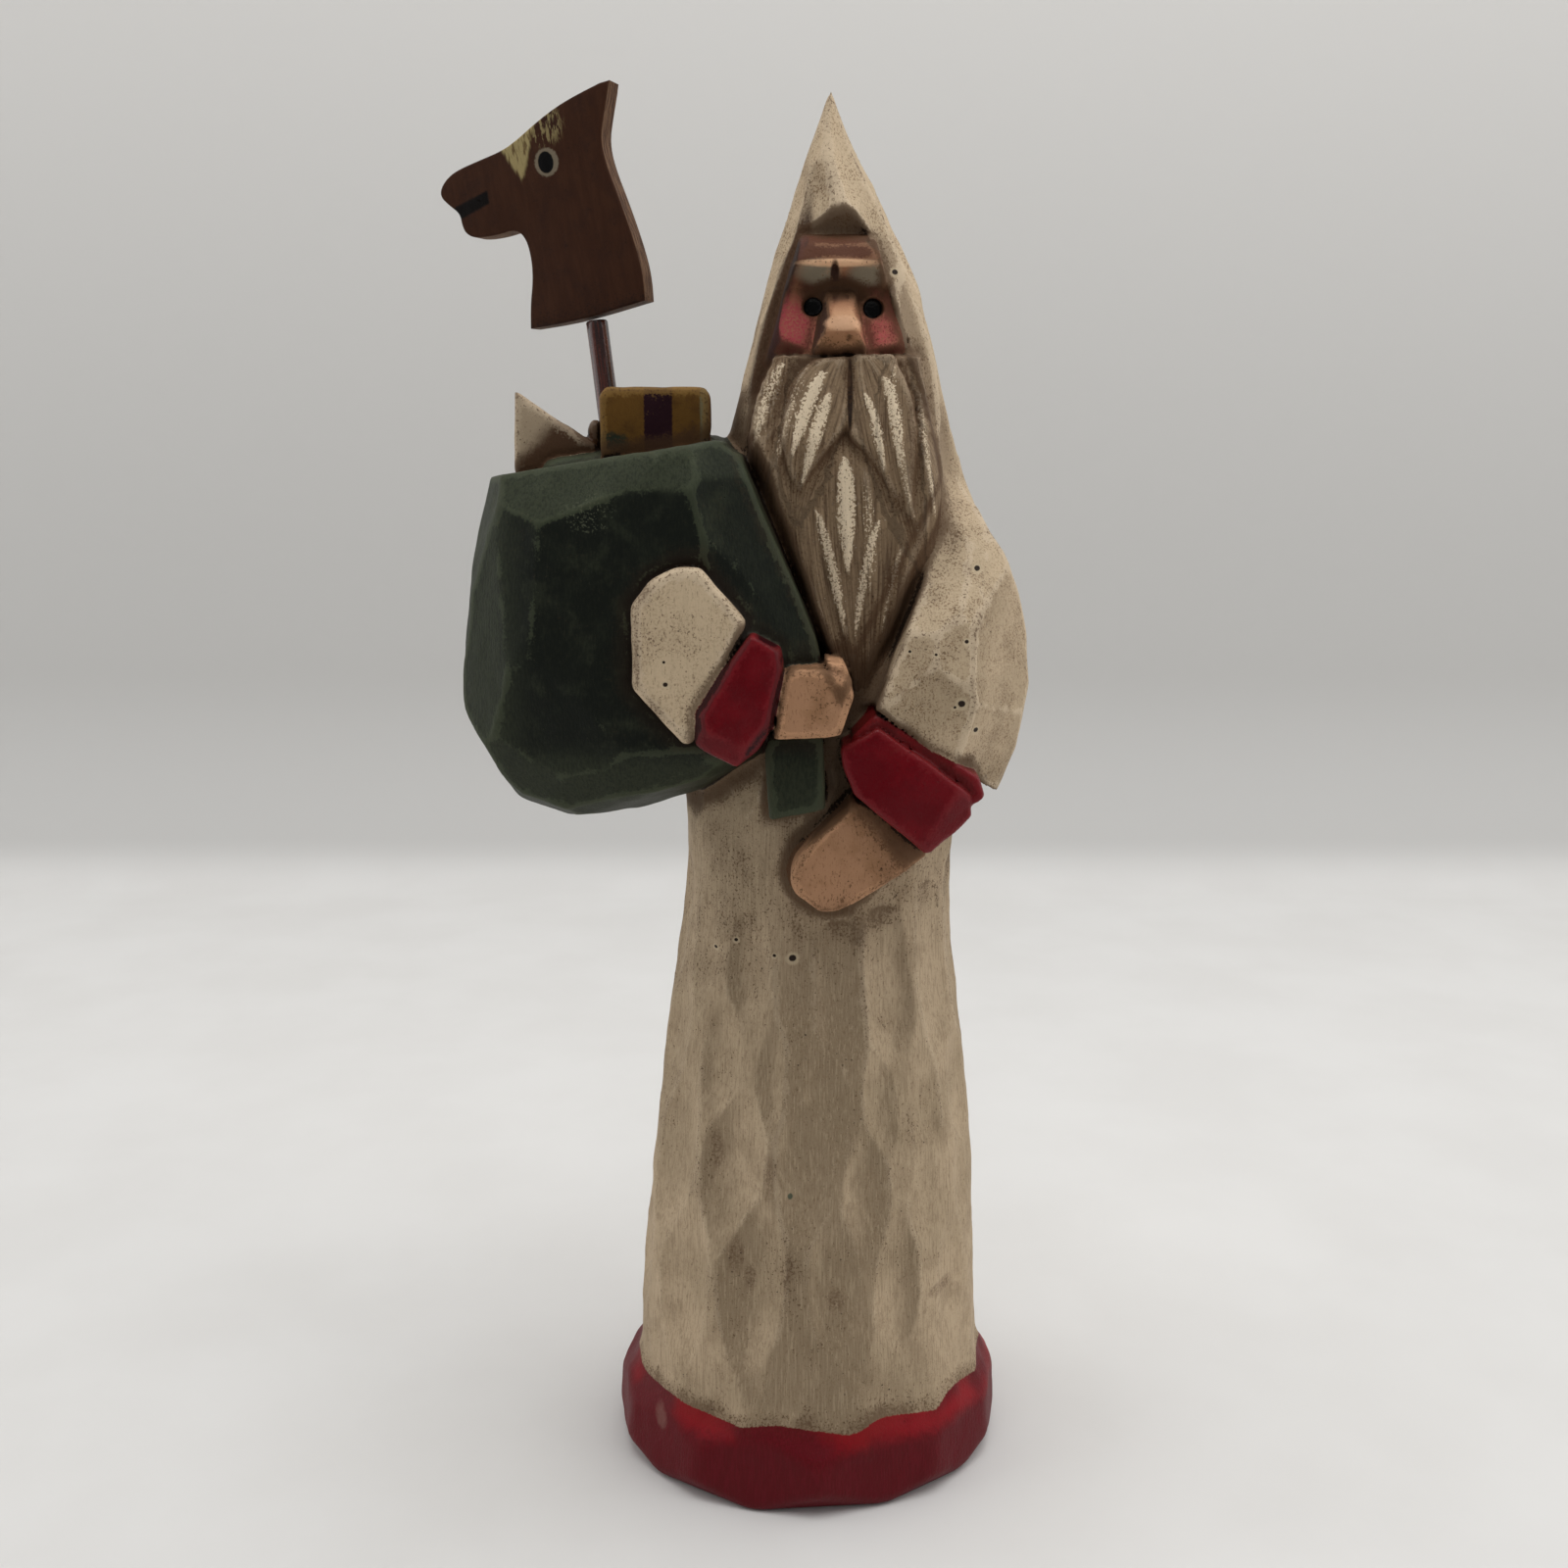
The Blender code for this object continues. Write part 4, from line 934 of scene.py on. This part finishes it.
# Painted shadow between the brow and the nose.
bridge_shadow = spot(place, 4.1, 215.8, 3.4, 1.9, ragged, 0.8)
face = over(bridge_shadow, face, (60, 37, 26))
blush = times(straggling, 0.4)
rouge = figure("MAXIMUM", spot(place, -4.2, 209.2, 4.4, 5.2, blush, 0.8),
               spot(place, 12.2, 209.4, 3.9, 5.4, blush, 0.8))
rouge_paint = over(between(place[0], 3.0, 6.0), (164, 66, 72), (190, 92, 90))
face = over(times(rouge, between(grain, 0.36, 0.6, 0.45, 1.0)), face, rouge_paint)
# Painted shade on the outer side of the cheek on the figure's right.
outer_cheek_shade = beside(place, (-8.1, 204.0), (-4.9, 214.6), times(straggling, 0.4), 0.8)
face = laid(face,
            (times(outer_cheek_shade, 0.6), (66, 36, 30)),
            # Painted shade where the face turns to the figure's right.
            (between(facing_way[0], -0.45, -0.75, 0.0, 0.9), (40, 25, 18)),
            # Painted highlight along the brow ridge.
            (spot(place, 3.9, 219.8, 6.0, 0.6, ragged, 0.7), (236, 190, 150)),
            (spot(place, 3.4, 218.2, 0.7, 2.1, ragged, 0.5), (52, 30, 20)))
# Painted light on the nose's front plane.
nose_light = times(beside(place, (4.2, 215.6), (2.0, 208.6), 0.0, 0.3),
                   beside(place, (8.0, 208.6), (4.7, 215.6), 0.0, 0.3))
nose_light = times(nose_light, times(between(place[2], 208.5, 209.0),
                                     between(place[2], 214.0, 210.8, 0.1, 1.0)))
face = laid(face,
            (nose_light, (196, 150, 114)),
            # Painted highlight on the tip of the nose.
            (spot(place, 4.8, 210.0, 2.9, 1.2, ragged, 0.5), (222, 176, 140)),
            (spot(place, 4.3, 206.9, 3.6, 1.5, ragged, 0.3), (166, 120, 86)))

# Hair: grey brown, drawn into strands with a thin dark brush, the locks dry brushed in cream.
strands = node("CombineXYZ", {0: held("strand"), 1: times(held("strand_along"), 2.2), 2: 0.0}).outputs[0]
strand = noise(strands, 2.1, 3.0, 0.55)
hair = over(between(strand, 0.42, 0.62), (119, 98, 75), (140, 118, 92))
hair = laid(hair,
            (between(strand, 0.44, 0.37, 0.0, 0.55), (72, 54, 39)),
            (between(grain, 0.52, 0.64, 0.0, 0.5), (88, 70, 53)))
brushed = times(strand, 0.7, times(grain, 2.4, held("lock")))
hair = laid(hair,
            (between(brushed, 1.95, 2.25), (222, 203, 174)),
            (between(times(ragged, 1.0, place[2]), 204.3, 204.8, 0.0, 0.7), (184, 160, 132)))
parting_line = spot(place, 5.85, 198.6, 0.42, 6.4, times(ragged, 0.8), 0.5)
hair = over(parting_line, hair, (26, 17, 12))

# The box in the sack: mustard paper with a plum ribbon, its right-hand side touched with cream and rose.
paper = over(between(blotch, 0.4, 0.62), (104, 72, 26), (84, 56, 20))
ribbon = figure("SUBTRACT", 1.0, figure("MAXIMUM",
                beside(place, (-28.9, 188.0), (-28.9, 202.0), ragged, 0.12),
                beside(place, (-24.1, 202.0), (-24.1, 188.0), ragged, 0.12)))
paper = laid(paper,
             (ribbon, (38, 10, 20)),
             (beside(place, (-19.3, 202.0), (-19.3, 188.0), ragged, 0.2), (118, 112, 84)),
             (beside(place, (-17.9, 202.0), (-17.9, 188.0), ragged, 0.2), (104, 64, 50)))
corner = spot(place, -35.0, 190.6, 3.4, 2.0, straggling, 0.5)
paper = over(corner, paper, (40, 46, 32))

# The coats in the order in which they were laid, then worn ridges, wash with painted shade, pinholes and
# eyes.
coats = cream
for name, paint in (("hem", red), ("cuff", red), ("sack", green), ("hand", flesh), ("beard", hair),
                    ("face", face), ("gift", paper), ("glue", (58, 20, 14))):
    coats = over(coat(name), coats, paint)
dark_coats = figure("MAXIMUM", coat("sack"), figure("MAXIMUM", coat("hem"), coat("cuff")))
bare = over(coat("sack"), (210, 190, 162), (74, 80, 60))
bare = laid(bare,
            (figure("MAXIMUM", coat("hem"), coat("cuff")), (128, 34, 40)),
            (figure("MAXIMUM", coat("hand"), coat("face")), (204, 156, 118)),
            (coat("gift"), (144, 110, 56)))
high_cloth = times(coat("cloth"), between(place[2], 128.0, 136.0))
rub = times(between(place[2], 128.0, 104.0), -0.4, times(front, 0.24, 0.4))
rub = times(hood_wall_shade, -0.7, rub)
rub = times(dark_coats, -0.2, times(figure("MAXIMUM", coat("beard"), coat("face")), -0.45, rub))
worn_most = times(figure("MAXIMUM", coat("sack"), high_cloth), front)
worn_here = times(ridge, times(worn_most, 0.9, 1.0))
worn = use(wear, {"Paint": coats, "Bare": bare, "Ridge": worn_here, "Grain": grain, "Cover": rub})
below_hands = times(between(place[2], 130.0, 112.0), between(place[2], 84.0, 108.0))
long_blotch = noise(millimetres((1.0, 1.0, 0.3)), 0.24, 4.0, 0.6)
low_down = between(place[2], 130.0, 110.0)
uneven = times(low_down, figure("SUBTRACT", long_blotch, blotch), blotch)
wash_and_shade = times(uneven, 0.8, times(patch, 0.9, -0.8))
wash_and_shade = times(low_down, -0.05, wash_and_shade)
wash_and_shade = times(coat("face"), -0.22, wash_and_shade)
# Painted shade: a band just under the hands and sack is darkened more.
wash_and_shade = times(below_hands, 0.16, wash_and_shade)
# Painted shade inside the hood's opening.
wash_and_shade = times(held("recess"), 0.85, wash_and_shade)
border = between(figure("ABSOLUTE", held("in_cloth")), 2.4, 0.3)
wash_and_shade = times(border, 0.32, times(ridge, 0.16, wash_and_shade))
# Wash in the fine hollows, and painted shade in the deep, wide ones.
wash_and_shade = times(hollow, 0.7, times(deep_hollow, 1.35, wash_and_shade))
wash_amount = times(dark_coats, -0.85, 1.0)
wash_grain = times(grain, 0.75, times(fleck, 0.25))
washed_and_shaded_paint = use(wash, {
    "Paint": worn.outputs["Color"], "Wash": paint_of((78, 54, 35)), "Hollow": wash_and_shade, "Grain": wash_grain,
    "Film": times(wash_amount, 0.8), "Specks": times(wash_amount, 0.7)})
# Dark lines in the deepest creases: wash and painted shade.
outline = between(times(hollow, 1.0, times(deep_hollow, 0.6, times(ragged, 2.6))), 0.98, 1.2)
thin_here = times(coat("face"), 1.4, coat("beard"))
finish = over(times(outline, times(thin_here, -0.6, 0.9)), washed_and_shaded_paint.outputs["Color"], (34, 22, 14))
bubbles = node("TexVoronoi", {"Vector": mm, "Scale": 0.62, "Randomness": 1.0}, feature="F1")
bubble_place = times(between(blotch, 0.5, 0.62), between(patch, 0.44, 0.56))
bubble = times(between(bubbles.outputs["Distance"], 0.11, 0.06), bubble_place)
finish = over(times(bubble, times(dark_coats, -1.0, 0.9)), finish, (50, 38, 28))
pinholes = [(-3.5, 102.1, 0.65), (-6.7, 102.6, 0.3), (-13.5, 104.4, 0.35), (-17.2, 102.4, 0.3),
            (24.1, 148.6, 0.6), (26.8, 143.9, 0.45), (23.0, 148.0, 0.25), (24.9, 158.6, 0.35),
            (27.3, 170.1, 0.5), (19.8, 156.6, 0.25), (15.6, 157.0, 0.25), (13.6, 218.8, 0.5),
            (-24.0, 152.4, 0.4), (-24.2, 156.0, 0.25)]
for hole_x, hole_z, across in pinholes:
    lip = spot(place, hole_x, hole_z, across * 1.9, across * 1.8, ragged, 0.4)
    finish = over(times(lip, times(front, 0.55)), finish, (198, 180, 150))
    hole = spot(place, hole_x, hole_z + 0.1, across, across * 0.9, times(ragged, 1.2), 0.3)
    finish = over(times(hole, front), finish, (42, 31, 23))
for drop_x, drop_z, wide, tall in ((-3.9, 59.6, 0.4, 0.5), (-13.7, 195.8, 1.0, 2.9)):
    drop = spot(place, drop_x, drop_z, wide, tall, straggling, 0.6)
    drop = times(times(drop, front), coat("cloth"))
    finish = over(times(drop, 0.8), finish, (44, 66, 54))
pupil = between(figure("MAXIMUM", held("eye_0"), held("eye_1")), 0.0, 0.25)
pupil = times(pupil, times(coat("face"), front))
finish = over(pupil, finish, (8, 7, 7))
tree.links.new(finish, satin.inputs["Base Color"])

dullness = over(coat("sack"), (0.64, 0.64, 0.64, 1.0), (0.56, 0.56, 0.56, 1.0))
for mask, dull in ((coat("hem"), 0.5), (coat("cuff"), 0.3), (coat("glue"), 0.14), (pupil, 0.08)):
    dullness = over(mask, dullness, (dull, dull, dull, 1.0))
rough = times(washed_and_shaded_paint.outputs["Covered"], 0.12, times(grain, 0.16, times(fleck, 0.1, -0.12)))
tree.links.new(figure("ADD", dullness, rough, clamp=True), satin.inputs["Roughness"])
relief = times(grain, 0.10, times(fleck, 0.16, times(hair_line, 0.06, 0.0)))
relief = times(strand, times(coat("beard"), 0.3), relief)
relief = times(bubble, -0.5, relief)
bump = node("Bump", {"Height": relief, "Strength": 1.0, "Distance": 0.0006})
tree.links.new(bump.outputs["Normal"], satin.inputs["Normal"])
satin.inputs["Specular IOR Level"].default_value = 0.15
cast.data.materials.clear()
cast.data.materials.append(painted)
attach(cast, "root")
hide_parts("santa_figure")

# The stick: a round dowel set in a hole in the sack's mouth, lacquered dark red-brown before it
# was glued in. Its ends are just broken with sandpaper, and the rod isn't quite even.
stick_rise = (stick_high[2] - stick_low[2]) * 1000.0 - stick_across * math.sin(stick_lean)
stick_long = stick_rise / math.cos(stick_lean)
STICK_SIDES = 40
rings = [(0.0, -0.45), (0.12, -0.14), (0.4, -0.02)]
rings += [(0.4 + (stick_long - 0.8) * step / 24, -0.02 + wobble(step, 0.02)) for step in range(1, 24)]
rings += [(stick_long - 0.4, -0.02), (stick_long - 0.12, -0.14), (stick_long, -0.45)]
stick_points = []
for along, change in rings:
    for side in range(STICK_SIDES):
        turn = 2.0 * math.pi * side / STICK_SIDES
        radius = (stick_across / 2 + change) * 0.001
        stick_points.append((radius * math.cos(turn), radius * math.sin(turn), along * 0.001))
stick_faces = [tuple(reversed(range(STICK_SIDES))),
               tuple(range((len(rings) - 1) * STICK_SIDES, len(rings) * STICK_SIDES))]
for ring in range(len(rings) - 1):
    for side in range(STICK_SIDES):
        one, two = ring * STICK_SIDES + side, ring * STICK_SIDES + (side + 1) % STICK_SIDES
        stick_faces.append((one, two, two + STICK_SIDES, one + STICK_SIDES))
stick_mesh = bpy.data.meshes.new("toy_stick")
stick_mesh.from_pydata(stick_points, [], stick_faces)
stick_mesh.polygons.foreach_set("use_smooth", [len(face) == 4 for face in stick_faces])
stick = bpy.data.objects.new("toy_stick", stick_mesh)
stick.matrix_world = Matrix.Translation(stick_foot * 0.001) @ Matrix.Rotation(-stick_lean, 4, "Y")
bpy.context.scene.collection.objects.link(stick)
lacquer = bpy.data.materials.new("brown_lacquer")
lacquer.use_nodes = True
tree = lacquer.node_tree
gloss = tree.nodes["Principled BSDF"]
stick_mm = millimetres()
grain_lines = noise(millimetres((1.0, 1.0, 0.04)), 2.4, 3.0, 0.6)
rub = noise(stick_mm, 1.4, 3.0, 0.6)
rod = over(between(grain_lines, 0.42, 0.62), (44, 18, 12), (92, 40, 26))
rod_worn = use(wear, {"Paint": rod, "Bare": paint_of((142, 84, 56)), "Grain": rub,
                                 "Ridge": between(grain_lines, 0.62, 0.74, 0.0, 0.3), "Cover": 0.7})
rod_foot = between(separate(stick_mm)[2], 4.5, 0.0)
rod_washed = use(wash, {"Paint": rod_worn.outputs["Color"], "Wash": paint_of((26, 12, 10)),
                                   "Hollow": rod_foot, "Grain": rub, "Film": 0.8, "Specks": 0.6})
tree.links.new(rod_washed.outputs["Color"], gloss.inputs["Base Color"])
tree.links.new(times(rub, 0.3, 0.1), gloss.inputs["Roughness"])
gloss.inputs["Coat Weight"].default_value = 0.5
gloss.inputs["Coat Roughness"].default_value = 0.12
rod_bump = node("Bump", {"Height": times(grain_lines, 0.3, times(rub, 0.1, 0.0)), "Strength": 0.6,
                               "Distance": 0.0004})
tree.links.new(rod_bump.outputs["Normal"], gloss.inputs["Normal"])
stick_mesh.materials.append(lacquer)
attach(stick, "root")
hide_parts("horse_stick")

# The toy horse: a head sawn from thin board, its edges rubbed round, stained brown and glued on
# the end of the stick. The eye, the mouth and the forelock are painted on.
board_thick = 4.8
horse_outline = [
    (10.5, 1.4), (10.9, 6.0), (10.4, 11.0), (9.1, 18.0), (7.5, 25.0), (7.4, 29.0), (8.6, 32.4), (9.7, 35.1),
    (10.7, 37.7), (8.9, 37.6), (3.5, 36.5), (-0.3, 35.4), (-4.2, 33.8), (-7.9, 32.0), (-11.1, 30.8),
    (-16.0, 30.1), (-19.9, 29.5), (-22.3, 28.7), (-24.2, 27.1), (-24.5, 25.6), (-23.1, 23.9), (-21.4, 22.2),
    (-21.4, 20.0), (-20.8, 18.5), (-19.1, 17.6), (-15.1, 17.3), (-11.2, 17.6), (-9.6, 15.6), (-9.3, 12.0),
    (-9.8, 8.5), (-11.0, 4.8), (-11.9, 0.6), (-2.8, 0.3),
]
square_corners = [(10.5, 1.4), (10.7, 37.7), (8.9, 37.6), (-11.9, 0.6)]


def sawn_round(outline, kept, times=2):
    """An outline with its corners cut off again and again, apart from the square ones."""
    for _ in range(times):
        finer = []
        for number, (x, z) in enumerate(outline):
            last, following = outline[number - 1], outline[(number + 1) % len(outline)]
            if (x, z) in kept:
                finer.append((x, z))
            else:
                finer.append((0.75 * x + 0.25 * last[0], 0.75 * z + 0.25 * last[1]))
                finer.append((0.75 * x + 0.25 * following[0], 0.75 * z + 0.25 * following[1]))
        outline = finer
    return outline


board = bmesh.new()
foot_face = board.faces.new([board.verts.new((x * 0.001, z * 0.001, -board_thick * 0.0005))
                             for x, z in sawn_round(horse_outline, square_corners)])
lifted = bmesh.ops.extrude_face_region(board, geom=[foot_face])
lifted_points = [part for part in lifted["geom"] if isinstance(part, bmesh.types.BMVert)]
bmesh.ops.translate(board, verts=lifted_points, vec=(0, 0, board_thick * 0.001))
bmesh.ops.recalc_face_normals(board, faces=board.faces[:])
rims = [edge for edge in board.edges if abs(edge.verts[0].co.z - edge.verts[1].co.z) < 1e-6]
bmesh.ops.bevel(board, geom=rims, offset=0.0004, segments=3, profile=0.6, affect="EDGES")
horse_mesh = bpy.data.meshes.new("toy_horse_head")
board.to_mesh(horse_mesh)
board.free()
horse_mesh.shade_smooth()
horse_mesh.set_sharp_from_angle(angle=math.radians(40))
horse = bpy.data.objects.new("toy_horse_head", horse_mesh)
stick_top = stick_foot + stick_way * stick_long
board_turn = Matrix.Rotation(math.radians(-9), 4, "Y") @ Matrix.Rotation(math.radians(-17), 4, "Z")
upright = Matrix.Rotation(math.radians(90), 4, "X")
horse.matrix_world = Matrix.Translation(stick_top * 0.001) @ board_turn @ upright
bpy.context.scene.collection.objects.link(horse)
stained = bpy.data.materials.new("stained_and_painted_board")
stained.use_nodes = True
tree = stained.node_tree
stain = tree.nodes["Principled BSDF"]
board_mm = millimetres()
board_place = separate(board_mm)
# Seen from the front, the board lies in its own x and y.
face_on = (board_place[0], board_place[2], board_place[1])
wood = noise(millimetres((0.35, 0.06, 0.35)), 2.2, 5.0, 0.62)
mottle = noise(board_mm, 0.3, 4.0, 0.6)
speck = noise(board_mm, 2.4, 3.0, 0.65)
from_middle = figure("ABSOLUTE", board_place[2])
sawn_edge = between(from_middle, 2.25, 2.05)
brown = over(between(wood, 0.4, 0.64), (58, 32, 18), (64, 37, 22))
brown = over(between(mottle, 0.46, 0.7, 0.0, 0.5), brown, (48, 28, 20))
saw_lines = noise(millimetres((0.25, 0.25, 2.2)), 1.2, 3.0, 0.6)
end_grain = over(between(saw_lines, 0.4, 0.62), (70, 46, 32), (118, 88, 64))
brown = over(sawn_edge, brown, end_grain)
board_worn = use(wear, {"Paint": brown, "Bare": paint_of((98, 68, 48)), "Grain": speck,
                                   "Ridge": times(sawn_edge, between(from_middle, 1.7, 2.2), 0.0),
                                   "Cover": 0.5})
wander = times(speck, 0.5, -0.25)
brush_hairs = noise(millimetres((1.6, 0.35, 1.0)), 1.1, 3.0, 0.6)
stragglers = times(brush_hairs, 2.6, -1.3)
lock_paint = over(between(brush_hairs, 0.36, 0.54), (104, 84, 54), (158, 142, 98))
wedge = times(beside(face_on, (-8.0, 25.6), (-3.6, 35.0), times(stragglers, 0.4), 0.4),
              beside(face_on, (-11.6, 31.6), (-8.6, 25.6), times(stragglers, 0.3), 0.4))
fringe = times(spot(face_on, -2.4, 33.0, 3.6, 3.4, stragglers, 0.5),
               between(brush_hairs, 0.48, 0.56, 0.0, 0.7))
forelock = figure("MAXIMUM", wedge, fringe)
forelock = times(forelock, between(board_place[2], -1.0, 1.0))
horse_paint = over(forelock, board_worn.outputs["Color"], lock_paint)
horse_paint = over(times(spot(face_on, -3.15, 27.2, 2.25, 2.35, wander, 0.16), times(sawn_edge, -1.0, 1.0)),
                   horse_paint, (122, 110, 92))
pupil_paint = spot(face_on, -3.3, 27.2, 1.45, 1.8, times(wander, 0.5), 0.12)
pupil_paint = times(pupil_paint, times(sawn_edge, -1.0, 1.0))
horse_paint = over(pupil_paint, horse_paint, (12, 12, 12))
mouth_paint = times(beside(face_on, (-15.0, 25.0), (-22.0, 23.4), wander, 0.25),
                    beside(face_on, (-22.0, 21.0), (-15.0, 22.8), wander, 0.25))
mouth_paint = times(mouth_paint, between(times(wander, 1.0, board_place[0]), -15.0, -15.5))
horse_paint = over(mouth_paint, horse_paint, (18, 14, 12))
# The board is darker towards its foot.
darker_near_foot = times(between(board_place[1], 5.0, 0.0), 0.5, times(mottle, 0.4, -0.2))
board_washed = use(wash, {"Paint": horse_paint, "Wash": paint_of((30, 20, 16)), "Hollow": darker_near_foot,
                                     "Grain": speck, "Film": 0.5, "Specks": 0.5})
tree.links.new(board_washed.outputs["Color"], stain.inputs["Base Color"])
shine = times(figure("MAXIMUM", pupil_paint, mouth_paint), -0.3, times(mottle, 0.2, 0.5))
tree.links.new(shine, stain.inputs["Roughness"])
board_relief = times(wood, 0.16, times(speck, 0.12, times(times(saw_lines, sawn_edge), 0.6, 0.0)))
board_relief = times(forelock, 0.25, board_relief)
board_bump = node("Bump", {"Height": board_relief, "Strength": 0.8, "Distance": 0.0006})
tree.links.new(board_bump.outputs["Normal"], stain.inputs["Normal"])
stain.inputs["Specular IOR Level"].default_value = 0.12
horse_mesh.materials.append(stained)
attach(horse, "root")
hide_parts("horse_head")

# Around it: a pale sheet of card that sweeps up behind, painted darker where it rises as painted shade and
# paler again towards the top as painted light. One broad soft light hangs overhead and two stand at the
# sides, a little behind, so that the front is the quietest part.
sweep_near, sweep_far, sweep_bend = -0.9, 0.40, 0.09
profile = [(sweep_near, 0.0), (sweep_far, 0.0)]
for step in range(1, 13):
    turn = math.radians(90.0 * step / 12)
    profile.append((sweep_far + sweep_bend * math.sin(turn), sweep_bend * (1.0 - math.cos(turn))))
profile.append((sweep_far + sweep_bend, 2.2))
sheet_mesh = bpy.data.meshes.new("paper_sweep")
sheet_mesh.from_pydata([(x, y, z) for y, z in profile for x in (-2.0, 2.0)], [],
                       [(2 * n, 2 * n + 1, 2 * n + 3, 2 * n + 2) for n in range(len(profile) - 1)])
sheet_mesh.shade_smooth()
sweep = bpy.data.objects.new("paper_sweep", sheet_mesh)
bpy.context.scene.collection.objects.link(sweep)
card = bpy.data.materials.new("pale_card")
card.use_nodes = True
tree = card.node_tree
card_mm = millimetres()
pulp = noise(card_mm, 0.02, 4.0, 0.5)
card_light_and_shade = over(between(pulp, 0.3, 0.7), (0.725, 0.712, 0.69, 1.0), (0.755, 0.744, 0.724, 1.0))
card_high = separate(card_mm)[2]
# Painted shade on the rising card, and painted light towards its top.
card_light_and_shade = laid(card_light_and_shade,
                 (between(card_high, -2.0, 16.0), (0.535, 0.526, 0.508, 1.0)),
                 (between(card_high, 120.0, 520.0), (0.67, 0.655, 0.63, 1.0)))
tree.links.new(card_light_and_shade, tree.nodes["Principled BSDF"].inputs["Base Color"])
tree.nodes["Principled BSDF"].inputs["Roughness"].default_value = 0.8
sheet_mesh.materials.append(card)
for name, lamp_at, aim, size, power in (("top_light", (0.06, -0.14, 1.0), (0.0, 0.0, 0.1), 0.8, 5.9),
                                        ("left_light", (-0.85, 0.05, 0.5), (0.0, 0.0, 0.13), 1.1, 4.2),
                                        ("right_light", (0.85, -0.05, 0.55), (0.0, 0.0, 0.13), 1.1, 4.3)):
    lamp = bpy.data.lights.new(name, "AREA")
    lamp.size = size
    lamp.energy = power
    holder = bpy.data.objects.new(name, lamp)
    holder.location = lamp_at
    holder.rotation_euler = (Vector(aim) - Vector(lamp_at)).to_track_quat("-Z", "Y").to_euler()
    bpy.context.scene.collection.objects.link(holder)
room = bpy.data.worlds.new("soft_room")
room.use_nodes = True
room.node_tree.nodes["Background"].inputs["Color"].default_value = (0.95, 0.97, 1.0, 1.0)
room.node_tree.nodes["Background"].inputs["Strength"].default_value = 0.2
bpy.context.scene.world = room
bpy.context.scene.view_settings.view_transform = "Standard"
